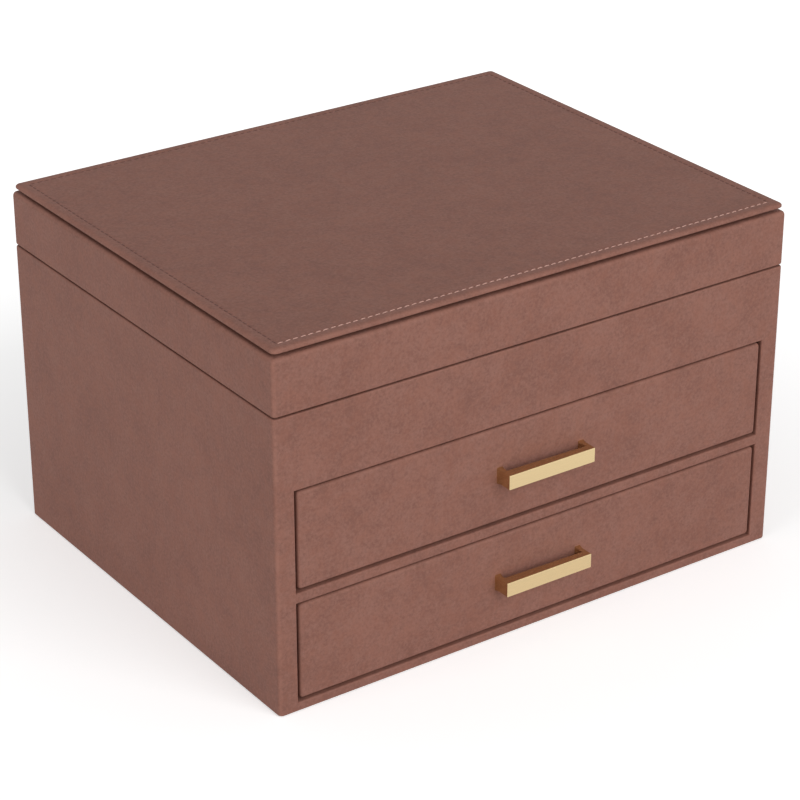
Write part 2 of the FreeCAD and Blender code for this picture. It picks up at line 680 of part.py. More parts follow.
def handle(name, centre):
    """A bar handle of one casting: the bar, two legs, and feet that flare out to the drawer front."""
    body = DOC.addObject("PartDesign::Body", f"{name}_body")
    place(body, "0", FACE_Y, centre)
    half, leg_in = "sizes.handle_length / 2", "(sizes.handle_length / 2 - sizes.handle_leg)"
    front, foot = "-sizes.handle_reach", "-sizes.foot_depth"
    bar_back = "(sizes.handle_bar - sizes.handle_reach)"
    points = [
        (f"-{half}", foot), (f"-{half}", front), (half, front), (half, foot),
        (leg_in, foot), (leg_in, bar_back), (f"-{leg_in}", bar_back), (f"-{leg_in}", foot),
    ]
    bar = pad(body, outline(body, f"{name}_plan", "XY_Plane", points), "sizes.handle_height", symmetric=True)
    DOC.recompute()
    inner_corners = []
    for count, edge in enumerate(bar.Shape.Edges, start=1):
        upright = edge.BoundBox.ZLength > TINY
        at_bar_back = abs(edge.Vertexes[0].Y - number(bar_back)) < TINY
        if upright and at_bar_back:
            inner_corners.append(f"Edge{count}")
    corner = body.newObject("PartDesign::Fillet", f"{name}_corners")
    corner.Base = (bar, inner_corners)
    free_leg = "(sizes.handle_reach - sizes.handle_bar - sizes.foot_depth)"
    corner.setExpression("Radius", f"min(sizes.handle_corner; {free_leg} * {CORNER_SHARE})")
    sections = []
    for part, offset, flare in (("leg", "sizes.foot_depth", "0"), ("seat", "0", "2 * sizes.foot_flare")):
        width, height = f"(sizes.handle_leg + {flare})", f"(sizes.handle_height + {flare})"
        sections.append(rectangle(body, f"{name}_{part}_section", "XZ_Plane", LEG_X, width, height, offset))
    foot_loft = body.newObject("PartDesign::AdditiveLoft", f"{name}_foot")
    foot_loft.Profile = sections[0]
    foot_loft.Sections = sections[1:]
    DOC.recompute()
    feet = body.newObject("PartDesign::Mirrored", f"{name}_feet")
    feet.Originals = [foot_loft]
    feet.MirrorPlane = (origin_of(body, "YZ_Plane"), [""])
    body.Tip = feet

    holes = []
    for side, way in (("left", -1), ("right", 1)):
        depth = f"sizes.screw_thread + sizes.screw_fit + {THROUGH}"
        hole = cylinder(f"{name}_{side}_thread", "sizes.screw_shank + sizes.screw_fit", depth, TO_FRONT)
        place(hole, f"{way} * {LEG_X}", f"{FACE_Y} + {THROUGH}", centre)
        holes.append(hole)
    keep(cut(name, body, holes))


def handle_screws(name, centre, fit="0"):
    """The two pan-head screws of a handle, or with a fit the sunk holes for them."""
    solids = []
    sink = fit != "0"
    for side, way in (("left", -1), ("right", 1)):
        x = f"{way} * {LEG_X}"
        shank_length = f"{SCREW_SEAT} - {FACE_Y} + sizes.screw_thread"
        shank = cylinder(f"{name}_{side}_shank", f"sizes.screw_shank + {fit}", shank_length, TO_FRONT)
        place(shank, x, SCREW_SEAT, centre)
        head_height = f"sizes.screw_sink + {THROUGH}" if sink else "sizes.screw_head_height"
        head = cylinder(f"{name}_{side}_head", f"sizes.screw_head + {fit}", head_height, TO_FRONT)
        place(head, x, f"{SCREW_SEAT} + {head_height}", centre)
        solids.append(fuse(f"{name}_{side}", [shank, head]))
    return solids


def drawer_front(label, floor, centre):
    """The front board, cased in leather on its face and edges, with sunk holes for the handle's screws."""
    outer_z = (f"{floor} + sizes.drawer_gap", f"{floor} + sizes.opening_height - sizes.drawer_gap")
    radius = "sizes.leather + sizes.front_ease"
    outer_y = (FACE_Y, FRONT_BACK)
    outer = eased(f"{label}_front_form", both(FRONT_X), outer_y, outer_z, radius, front_only=True)
    board_y = (f"{FACE_Y} + sizes.leather", FRONT_BACK)
    board = eased(f"{label}_front_blank", both(f"{FRONT_X} - sizes.leather"), board_y,
                  grown(outer_z, "-sizes.leather"), "sizes.front_ease", "Chamfer", front_only=True)
    holes = handle_screws(f"{label}_screw_hole", centre, "sizes.screw_hole_fit")
    keep(cut(f"{label}_front_leather", outer, [board] + holes))
    keep(cut(f"{label}_front", board, holes))


def drawer_box(label, floor, ceiling):
    """The box behind a front: base, two sides and a back that stands taller, to catch the stop strip."""
    base_bottom = f"({floor} + sizes.drawer_clearance)"
    base_top = f"({base_bottom} + sizes.drawer_base)"
    side_top = f"({ceiling} - sizes.strip_thickness - sizes.strip_clearance)"
    back_top = f"({ceiling} - sizes.strip_clearance)"
    keep(block(f"{label}_base", both(FRONT_X), (FRONT_BACK, DRAWER_REAR), (base_bottom, base_top)))
    side_y, side_z = (FRONT_BACK, DRAWER_REAR), (base_top, side_top)
    keep(block(f"{label}_left_side", (f"-{FRONT_X}", f"-{SIDE_INNER}"), side_y, side_z))
    keep(block(f"{label}_right_side", (SIDE_INNER, FRONT_X), side_y, side_z))
    keep(block(f"{label}_back", both(SIDE_INNER), (REAR_INNER, DRAWER_REAR), (base_top, back_top)))
    lined(f"{label}_lining", both(SIDE_INNER), (FRONT_BACK, REAR_INNER), (base_top, side_top), "sizes.suede")
    return f"({base_top} + sizes.suede)", f"({side_top} - sizes.cell_drop)"


def halved_dividers(label, z):
    """One long divider and two across it, slotted half and half where they cross."""
    bottom, top = z
    middle_z = f"({bottom} + {top}) / 2"
    middle_y = f"({FRONT_BACK} + {REAR_INNER}) / 2"
    inner_x = f"({SIDE_INNER} - sizes.suede)"
    inner_y = grown((FRONT_BACK, REAR_INNER), "-sizes.suede")
    half = "sizes.divider / 2"
    slot_half = "sizes.divider / 2 + sizes.halving_fit"
    long_y = (f"{middle_y} - {half}", f"{middle_y} + {half}")
    long_blank = block(f"{label}_long_blank", both(inner_x), long_y, z)
    long_slots = []
    crosses = []
    for side, way in (("left", -1), ("right", 1)):
        centre = f"{way} * (sizes.cell_width + sizes.divider) / 2"
        across = (f"{centre} - {half}", f"{centre} + {half}")
        slot_x = (f"{centre} - ({slot_half})", f"{centre} + {slot_half}")
        slot_y = (f"{middle_y} - ({slot_half})", f"{middle_y} + {slot_half}")
        upper_half = (middle_z, f"{top} + {THROUGH}")
        lower_half = (f"{bottom} - {THROUGH}", middle_z)
        long_slots.append(block(f"{label}_{side}_long_slot", slot_x, slot_y, upper_half))
        blank = block(f"{label}_{side}_cross_blank", across, inner_y, z)
        slot = block(f"{label}_{side}_cross_slot", slot_x, slot_y, lower_half)
        crosses.append(cut(f"{label}_{side}_cross", blank, [slot]))
    keep(cut(f"{label}_long_divider", long_blank, long_slots))
    keep(group(f"{label}_cross_dividers", crosses))


def drawer(label, floor, ceiling):
    """One drawer without its dividers. It gives the span in height that a divider may fill."""
    centre = f"({floor} + sizes.opening_height / 2)"
    drawer_front(label, floor, centre)
    inner_z = drawer_box(label, floor, ceiling)
    handle(f"{label}_handle", centre)
    keep(group(f"{label}_handle_screws", handle_screws(f"{label}_screw", centre)))
    return inner_z


def drawers():
    """Both drawers, and the strips under the shelf and the tray that stop them from coming right out."""
    upper_z = drawer("upper_drawer", UPPER_FLOOR, TRAY_BOTTOM)
    halved_dividers("upper_drawer", upper_z)
    lower_z = drawer("lower_drawer", LOWER_FLOOR, SHELF_BOTTOM)
    west = f"sizes.lower_cell_width + sizes.suede - {SIDE_INNER}"
    inner_y = grown((FRONT_BACK, REAR_INNER), "-sizes.suede")
    keep(block("lower_drawer_divider", (west, f"{west} + sizes.divider"), inner_y, lower_z))
    strip_back = f"({REAR_INNER} - sizes.drawer_travel - sizes.drawer_clearance)"
    for level, ceiling in (("upper", TRAY_BOTTOM), ("lower", SHELF_BOTTOM)):
        strip_z = (f"{ceiling} - sizes.strip_thickness", ceiling)
        strip_y = (f"{strip_back} - sizes.strip_width", strip_back)
        keep(block(f"{level}_stop_strip", both("sizes.strip_length / 2"), strip_y, strip_z))


# ---------------------------------------------------------------- whole box

def check():
    """Stops if any object failed, or any sub-part isn't made of sound solids."""
    for item in DOC.Objects:
        if "Invalid" in item.State or "Error" in item.State:
            raise RuntimeError(f"{item.Name} failed: {item.State}")
    for piece in NODES:
        if piece.Shape.isNull() or not piece.Shape.isValid() or not piece.Shape.Solids:
            raise RuntimeError(f"{piece.Label} has no sound solid")


case()
lid()
hinges()
drawers()
DOC.recompute()
check()
os.makedirs("parts", exist_ok=True)
for piece in NODES:
    piece.Shape.exportStep(f"parts/{piece.Label}.step")
    print(f"{piece.Label:32} {len(piece.Shape.Solids):2} solid(s)")
print(len(NODES), "sub-parts")
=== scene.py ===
"""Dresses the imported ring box: leatherette wraps, stitched lid panel, bar handles, ring rolls and linings."""
import itertools
import json
import math
import random

import bmesh
import bpy
from bpy.props import FloatProperty, FloatVectorProperty, PointerProperty
from mathutils import Matrix, Vector, noise


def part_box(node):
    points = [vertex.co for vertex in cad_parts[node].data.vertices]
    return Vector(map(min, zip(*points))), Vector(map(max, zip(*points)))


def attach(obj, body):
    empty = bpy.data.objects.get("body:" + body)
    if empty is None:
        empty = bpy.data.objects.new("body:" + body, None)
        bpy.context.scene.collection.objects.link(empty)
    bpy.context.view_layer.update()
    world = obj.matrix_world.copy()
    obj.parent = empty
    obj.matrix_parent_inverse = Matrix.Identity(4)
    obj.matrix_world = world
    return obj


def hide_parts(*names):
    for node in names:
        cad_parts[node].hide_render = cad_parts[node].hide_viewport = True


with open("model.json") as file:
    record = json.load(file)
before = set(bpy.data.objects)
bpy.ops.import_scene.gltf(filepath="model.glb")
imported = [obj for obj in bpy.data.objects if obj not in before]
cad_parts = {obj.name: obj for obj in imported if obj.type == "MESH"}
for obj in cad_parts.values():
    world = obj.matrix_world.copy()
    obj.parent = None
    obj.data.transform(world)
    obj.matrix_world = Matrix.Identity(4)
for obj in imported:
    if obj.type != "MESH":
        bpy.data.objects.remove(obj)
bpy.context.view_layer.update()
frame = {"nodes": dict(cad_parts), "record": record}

bl_info = {
    "name": "Ring box dresser",
    "version": (1, 0, 0),
    "blender": (4, 5, 0),
    "location": "3D View > Sidebar > Ring box",
    "description": "Builds the leatherette, stitching, handles, rolls and linings of a ring box "
                   "round its CAD frame",
    "category": "Object",
}

MM = 0.001
TINY = 1e-6

# Places that the frame gives
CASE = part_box("case_leather")
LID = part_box("lid_leather")
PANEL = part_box("panel_leather")
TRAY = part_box("tray_lining")
LID_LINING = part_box("lid_lining")
BASE_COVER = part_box("base_cover")
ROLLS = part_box("ring_rolls")
DRAWERS = ("upper_drawer", "lower_drawer")
HINGES = ("left_hinge", "right_hinge")

# How far a block that cuts reaches past the surface
PAST = 1 * MM
# Two faces that meet at more than this angle have an edge to round, or to keep sharp in the shading
EDGE_ANGLE = math.radians(30)
CREASE_ANGLE = math.radians(40)
# How far a normal turns away from the axes where the finish is painted lighter: partly rubbed wear, partly a
# painted highlight on the rounded edge
WEAR_AND_HIGHLIGHT_TURN = 0.2
# The steps in which a padded sheet's rounded edge turns
EDGE_TURNS = 7
# The thickness of a hinge leaf's plate, its clearance, and how far its recess reaches past the leatherette
LEAF_PLATE = 1.2 * MM
LEAF_FIT = 0.1 * MM
LEAF_PAST = 3 * MM
# The corners of a square, one after the other
CORNERS = ((-1, -1), (1, -1), (1, 1), (-1, 1))


# ---- sizes and colours that a user may change

def linear(colour):
    """An sRGB hex colour, such as "8d675b", as the linear values that shaders take."""
    channels = [int(colour[start:start + 2], 16) / 255 for start in (0, 2, 4)]
    return tuple(c / 12.92 if c <= 0.04045 else ((c + 0.055) / 1.055) ** 2.4 for c in channels)


def colour_property(name, description, colour):
    """A colour that shows as a swatch in the panel."""
    return FloatVectorProperty(
        name=name, description=description, default=linear(colour), subtype="COLOR", size=3, min=0, max=1)


def length_property(name, description, millimetres):
    """A length that shows with its unit in the panel."""
    return FloatProperty(
        name=name, description=description, default=millimetres * MM, min=0, unit="LENGTH", precision=5)


class RingBoxSizes(bpy.types.PropertyGroup):
    """Sizes of the soft and sewn parts, which the frame doesn't give."""
    leather: length_property("Leatherette", "Thickness of the leatherette", 0.8)
    panel_inset: length_property("Panel inset", "How far the panel's edge lies in from the lid's", 0.9)
    edge_round: length_property("Edge round", "Radius of the wrapped upright edges and of the lid's top", 2)
    mouth_round: length_property("Mouth round", "Radius of the edges at the openings and the parting", 0.75)
    parting: length_property("Parting", "Gap between the case's leatherette and the lid's", 0.75)
    drawer_gap: length_property("Drawer gap", "Gap over a drawer front and to its right", 0.9)
    drawer_gap_left: length_property("Drawer gap, left", "Gap to the left of a drawer front", 1.2)
    drawer_gap_under: length_property("Drawer gap, under", "Gap under a drawer front", 1.2)
    front_round: length_property("Front round", "Radius of the edges of the drawer fronts", 1.6)
    panel_reveal: length_property("Panel reveal", "Gap between the lid panel and the lid", 1.6)
    panel_thickness: length_property("Panel thickness", "Thickness of the lid panel at its edge", 1.9)
    panel_corner: length_property("Panel corner", "Corner radius of the lid panel, seen from above", 2.4)
    panel_edge: length_property("Panel edge", "How far in the panel's upper edge starts to round", 2)
    panel_fall: length_property("Panel fall", "How far the panel's upper edge falls as it rounds", 1.1)
    stitch_inset: length_property("Stitch inset", "Distance of the stitches from the panel's edge", 4.9)
    stitch_pitch: length_property("Stitch pitch", "From one stitch to the next", 3.46)
    stitch_length: length_property("Stitch length", "Visible length of a stitch", 2.75)
    thread: length_property("Thread", "Thickness of the thread", 0.44)
    roll_pitch: length_property("Roll pitch", "From one ring roll to the next", 19)
    roll_gap: length_property("Roll gap", "Gap between two ring rolls", 0.5)


class RingBoxColours(bpy.types.PropertyGroup):
    """Colours of the finishes."""
    leather_light: colour_property("Leatherette, light", "Lighter tone of the cloudy print", "93695d")
    leather_dark: colour_property("Leatherette, dark", "Darker tone of the cloudy print", "80584d")
    leather_flush: colour_property(
        "Leatherette, flush", "Redder tone that comes and goes in the print", "946252")
    # the edge tone is partly wear and partly a painted highlight on the rounded edges
    leather_worn_and_lit: colour_property(
        "Leatherette, worn", "Tone of the edges, where the print is rubbed", "a27263")
    # one thread in lit and shaded copies: the front row is painted pale as a painted highlight, the other rows
    # darker as painted shade
    thread: colour_property("Thread", "Colour of the sewing thread", "6e4238")
    thread_front_highlight: colour_property(
        "Thread, front", "Colour of the thread along the front, rubbed pale", "dcae9f")
    plating: colour_property("Plating", "Colour of the satin plated handles", "d8c093")
    lining: colour_property("Lining", "Colour of the microsuede", "c9b39c")


# ---- materials

def put(tree, made, settings):
    """Sets a node's properties and inputs. A socket is linked in, and of a node the first output."""
    for key, value in settings.items():
        if isinstance(value, bpy.types.Node):
            value = value.outputs[0]
        if isinstance(value, bpy.types.NodeSocket):
            tree.links.new(value, made.inputs[key])
        elif isinstance(key, int) or key in made.inputs:
            made.inputs[key].default_value = value
        else:
            setattr(made, key, value)
    return made


def node(tree, kind, settings):
    """Adds a shader node."""
    return put(tree, tree.nodes.new(f"ShaderNode{kind}"), settings)


def empty_tree(owner):
    """The node tree of a new material or world, with nothing in it."""
    owner.use_nodes = True
    owner.node_tree.nodes.clear()
    return owner.node_tree


def surface(name, settings):
    """A new material with one Principled surface, and the object's own coordinates in metres."""
    material = bpy.data.materials.new(name)
    tree = empty_tree(material)
    shader = node(tree, "BsdfPrincipled", settings)
    node(tree, "OutputMaterial", {"Surface": shader})
    return material, tree, shader, node(tree, "TexCoord", {}).outputs["Object"]


def opaque(colour):
    """A colour property's value with full alpha."""
    return (*colour, 1)


def blend(tree, share, first, second):
    """A mix of two colours, each a value or a socket."""
    return node(tree, "Mix", {"data_type": "RGBA", 0: share, 6: first, 7: second}).outputs[2]


def patches(tree, place, size, settings):
    """A noise whose largest patches are about so many millimetres across."""
    return node(tree, "TexNoise", {"Vector": place, "Scale": 1 / (size * MM), **settings})


def remap(tree, value, start, end, source=(0, 1)):
    """A value that runs from start to end while the source value runs through its own range."""
    return node(tree, "MapRange", {
        "Value": value, "From Min": source[0], "From Max": source[1], "To Min": start, "To Max": end})


def scaled(tree, colour, shade):
    """A colour made darker and lighter by a shade."""
    return node(tree, "VectorMath", {"operation": "SCALE", 0: colour, "Scale": shade})


def calendered_leatherette(name, colours):
    """Leatherette, polyurethane rolled smooth on a woven backing, printed in two tones and matted.

    The eye gets soft clouds of every size, a dull gloss, a fine pebble grain and edges that are
    painted lighter and redder: partly rubbed wear, partly a painted highlight on the rounded edges.
    """
    material, tree, shader, place = surface(name, {"IOR": 1.5, "Specular IOR Level": 0.15})
    # nearly even octaves, from hand-sized clouds down to the grain
    clouds = patches(tree, place, 28, {"Detail": 7, "Roughness": 0.86, "Distortion": 0.3})
    spread = remap(tree, clouds, 0.1, 0.9, (0.36, 0.64))
    # the print's dots are about 0.2 mm, and are drawn as specks of 1.3 mm and less, so that they show
    specks = patches(tree, place, 1.3, {"Detail": 3, "Roughness": 0.75})
    scatter = remap(tree, specks, -0.6, 0.6, (0.3, 0.7))
    print_tone = node(tree, "Math", {"operation": "ADD", 0: spread, 1: scatter})
    tone = blend(tree, print_tone, opaque(colours.leather_dark), opaque(colours.leather_light))
    flushes = patches(tree, place, 6, {"Detail": 5, "Roughness": 0.8})
    warmed = blend(tree, remap(tree, flushes, 0, 0.4, (0.42, 0.62)), tone, opaque(colours.leather_flush))
    # painted lighter, redder edges: partly rubbed wear, partly a painted highlight on the rounded edges
    edges = node(tree, "Attribute", {"attribute_name": "wear_and_highlight"}).outputs["Fac"]
    patchy = remap(tree, clouds, 0.1, 0.5, (0.35, 0.6))
    rubbing_and_highlight = node(tree, "Math", {"operation": "MULTIPLY", 0: edges, 1: patchy})
    pebbles = node(tree, "TexVoronoi", {"Vector": place, "Scale": 1 / (1.1 * MM), "feature": "SMOOTH_F1"})
    ripple = patches(tree, place, 7, {"Detail": 4})
    soft = node(tree, "Bump", {"Height": ripple, "Strength": 0.3, "Distance": 0.25 * MM})
    grain = node(tree, "Bump", {"Height": pebbles, "Normal": soft, "Strength": 0.5, "Distance": 0.08 * MM})
    put(tree, shader, {
        "Base Color": blend(tree, rubbing_and_highlight, warmed, opaque(colours.leather_worn_and_lit)),
        "Roughness": remap(tree, clouds, 0.52, 0.7),
        "Normal": grain})
    return material


def pressed_fibreboard(name):
    """Medium-density fibreboard, pressed from wood fibres and left bare.

    The eye gets a dull even tan with fine felted fibres and a few darker ones.
    """
    material, tree, shader, place = surface(name, {"Roughness": 0.85, "IOR": 1.5})
    fibres = patches(tree, place, 1.4, {"Detail": 5, "Distortion": 1.5})
    put(tree, shader, {
        "Base Color": blend(tree, fibres, opaque(linear("80654a")), opaque(linear("b59872"))),
        "Normal": node(tree, "Bump", {"Height": fibres, "Strength": 0.4, "Distance": 0.1 * MM})})
    return material


def napped_cloth(name, colour, nap, sheen):
    """Cloth with a raised nap, whose length is given in millimetres.

    The eye gets patches in which the nap lies one way, and edges that catch the light.
    """
    material, tree, shader, place = surface(name, {
        "Roughness": 0.95, "IOR": 1.45, "Sheen Weight": sheen, "Sheen Roughness": 0.45,
        "Sheen Tint": opaque(colour)})
    strokes = patches(tree, place, 16, {"Detail": 3, "Distortion": 1.2})
    pile = patches(tree, place, nap, {"Detail": 4, "Roughness": 0.7})
    both = node(tree, "Math", {"operation": "ADD", 0: strokes, 1: pile})
    put(tree, shader, {
        "Base Color": scaled(tree, colour, remap(tree, both, 0.82, 1.12, (0.6, 1.4))),
        "Normal": node(tree, "Bump", {"Height": pile, "Strength": 0.6, "Distance": nap * 0.3 * MM})})
    return material


def silvered_glass(name):
    """Float glass silvered on its back. The eye gets a clean cool mirror."""
    material, tree, shader, place = surface(name, {"Metallic": 1, "Base Color": opaque(linear("e6ecea"))})
    haze = patches(tree, place, 60, {"Detail": 2})
    put(tree, shader, {"Roughness": remap(tree, haze, 0.01, 0.035)})
    return material


def brushed_metal(name, colour, roughness, stroke):
    """Metal rubbed along X before it was plated.

    The eye gets a soft gleam with faint streaks along the piece.
    """
    material, tree, shader, place = surface(name, {"Metallic": 1})
    streaked = node(tree, "Mapping", {"Vector": place, "Scale": (0.02, 1, 1)})
    streaks = patches(tree, streaked, stroke, {"Detail": 3})
    put(tree, shader, {
        "Base Color": scaled(tree, colour, remap(tree, streaks, 0.94, 1.04)),
        "Roughness": remap(tree, streaks, roughness * 0.8, roughness * 1.2),
        "Normal": node(tree, "Bump", {"Height": streaks, "Strength": 0.12, "Distance": 0.02 * MM})})
    return material


def twisted_thread(name, colour):
    """Bonded polyester thread of three twisted strands.

    The eye gets a dull bead with fine slanting grooves, whose shade is painted into the colour.
    """
    material, tree, shader, place = surface(name, {"Roughness": 0.6, "IOR": 1.58})
    twist_groove_shade = node(tree, "TexWave", {
        "Vector": place, "Scale": 1 / (2.2 * MM), "bands_direction": "DIAGONAL"}).outputs["Fac"]
    # painted shade: the colour darkens in slanting bands where the twist's grooves lie
    put(tree, shader, {"Base Color": scaled(tree, colour, remap(tree, twist_groove_shade, 0.72, 1.05))})
    return material


# ---- mesh tools

def stacked(layers):
    """The surface of stacked blocks, in quads. The last block that holds a cell says whether it is filled."""
    stops = [sorted({round(corner[axis], 6) for _, block in layers for corner in block}) for axis in range(3)]
    cells = set()
    for cell in itertools.product(*(range(len(stop) - 1) for stop in stops)):
        middle = [(stops[axis][cell[axis]] + stops[axis][cell[axis] + 1]) / 2 for axis in range(3)]
        states = [full for full, (low, high) in layers if all(low[a] < middle[a] < high[a] for a in range(3))]
        if states and states[-1]:
            cells.add(cell)
    mesh = bmesh.new()
    corners = {}
    for cell, axis, side in itertools.product(sorted(cells), range(3), (0, 1)):
        step = [2 * side - 1 if a == axis else 0 for a in range(3)]
        if tuple(c + s for c, s in zip(cell, step)) in cells:
            continue
        across = [a for a in range(3) if a != axis]
        ring = []
        for turn in ((0, 0), (1, 0), (1, 1), (0, 1)):
            index = list(cell)
            index[axis] += side
            index[across[0]] += turn[0]
            index[across[1]] += turn[1]
            key = tuple(index)
            if key not in corners:
                corners[key] = mesh.verts.new([stops[a][key[a]] for a in range(3)])
            ring.append(corners[key])
        mesh.faces.new(ring)
    bmesh.ops.recalc_face_normals(mesh, faces=mesh.faces)
    return mesh


def lies_on(item, axis, level):
    """True for an edge or a face that lies wholly at that level of an axis."""
    return all(abs(vert.co[axis] - level) < TINY for vert in item.verts)


def block_edges(mesh, block):
    """The edges of a mesh that lie on the edges of a block."""
    return [edge for edge in mesh.edges
            if sum(lies_on(edge, axis, corner[axis]) for axis in range(3) for corner in block) >= 2]


def sharp_edges(mesh):
    """The edges at which two faces meet at an angle."""
    return [edge for edge in mesh.edges if edge.is_manifold and edge.calc_face_angle() > EDGE_ANGLE]


def round_edges(mesh, edges, radius, segments):
    """Rounds some edges of a mesh."""
    bmesh.ops.bevel(mesh, geom=edges, offset=radius, segments=segments, profile=0.5, affect="EDGES")


def open_rim(mesh):
    """The edges at which a sheet ends."""
    return [edge for edge in mesh.edges if edge.is_boundary]


def extrude_rim(mesh):
    """Extrudes the rim of a sheet. Gives the new vertices, still in the old place."""
    made = bmesh.ops.extrude_edge_only(mesh, edges=open_rim(mesh))["geom"]
    return [item for item in made if isinstance(item, bmesh.types.BMVert)]


def angles_round(count):
    """Angles of evenly spaced points on a circle."""
    return [2 * math.pi * turn / count for turn in range(count)]


def loft(mesh, rings):
    """Joins rings of vertices into a tube with closed ends."""
    for ring, following in zip(rings, rings[1:]):
        for start in range(len(ring)):
            after = (start + 1) % len(ring)
            mesh.faces.new((ring[start], ring[after], following[after], following[start]))
    mesh.faces.new(rings[0][::-1])
    mesh.faces.new(rings[-1])


def as_data(name, mesh):
    """A bmesh as mesh data. The bmesh is freed."""
    data = bpy.data.meshes.new(name)
    mesh.to_mesh(data)
    mesh.free()
    return data


def add_object(name, data):
    """A new object in the scene."""
    made = bpy.data.objects.new(name, data)
    bpy.context.scene.collection.objects.link(made)
    return made


def mark_wear_and_highlight(mesh):
    """Notes on each vertex how far it lies on a rounded edge, where a finish rubs first and where the
    leatherette paints a highlight.
    """
    mesh.normal_update()
    wear_and_highlight = mesh.verts.layers.float.new("wear_and_highlight")
    for vert in mesh.verts:
        turned = 1 - max(abs(part) for part in vert.normal)
        vert[wear_and_highlight] = min(turned / WEAR_AND_HIGHLIGHT_TURN, 1)


def add_piece(name, mesh, material, body, nodes=()):
    """Turns a bmesh into a piece that rides on a body and the CAD nodes that it replaces."""
    mark_wear_and_highlight(mesh)
    data = as_data(name, mesh)
    data.shade_smooth()
    data.set_sharp_from_angle(angle=CREASE_ANGLE)
    data.materials.append(material)
    piece = add_object(name, data)
    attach(piece, body)
    if nodes:
        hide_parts(*nodes)
    return piece


def settle(piece):
    """Applies a piece's modifiers to its mesh."""
    bpy.context.view_layer.update()
    shown = piece.evaluated_get(bpy.context.evaluated_depsgraph_get())
    data = bpy.data.meshes.new_from_object(shown)
    piece.modifiers.clear()
    piece.data = data


def modify(piece, name, kind, **settings):
    """Adds a modifier with those settings."""
    modifier = piece.modifiers.new(name, kind)
    for key, value in settings.items():
        setattr(modifier, key, value)
    return modifier


def even_shading(piece):
    """Keeps broad faces flat to the light right up to their rounded edges."""
    modify(piece, "even_shading", "WEIGHTED_NORMAL", keep_sharp=True)


def thicken(piece, thickness):
    """Gives a sheet its thickness, inwards from its outer face."""
    modify(piece, "thickness", "SOLIDIFY", thickness=thickness, offset=-1, use_even_offset=True)
    settle(piece)


def carve(piece, blocks):
    """Cuts blocks out of a closed piece."""
    for block in blocks:
        tool = add_object("cutter", as_data("cutter", stacked([(True, block)])))
        modify(piece, "cut", "BOOLEAN", object=tool, operation="DIFFERENCE", solver="MANIFOLD")
        settle(piece)
        bpy.data.objects.remove(tool)


def dress(name, material, rounding):
    """Gives a CAD node a material, and eased edges if it has a rounding."""
    piece = frame["nodes"][name]
    piece.data.materials.clear()
    piece.data.materials.append(material)
    if rounding:
        modify(piece, "joined_faces", "WELD", merge_threshold=TINY)
        modify(piece, "eased_edges", "BEVEL", width=rounding, segments=3, limit_method="ANGLE",
               angle_limit=CREASE_ANGLE, harden_normals=True)


def finish(maker, name, *values):
    """A material of that name, made on its first use."""
    return bpy.data.materials.get(name) or maker(name, *values)


def polished_brass():
    """The brass of the hinges and their screws."""
    return finish(brushed_metal, "polished_brass", linear("dcc084"), 0.16, 0.4)


def leatherette():
    """The leatherette of the box."""
    colours = bpy.context.scene.ring_box_colours
    return finish(calendered_leatherette, "calendered_leatherette", colours)


def add_cover(name, mesh, body, replaced):
    """A piece of leatherette that stands for a CAD node."""
    return add_piece(name, mesh, leatherette(), body, [replaced])


# ---- operators

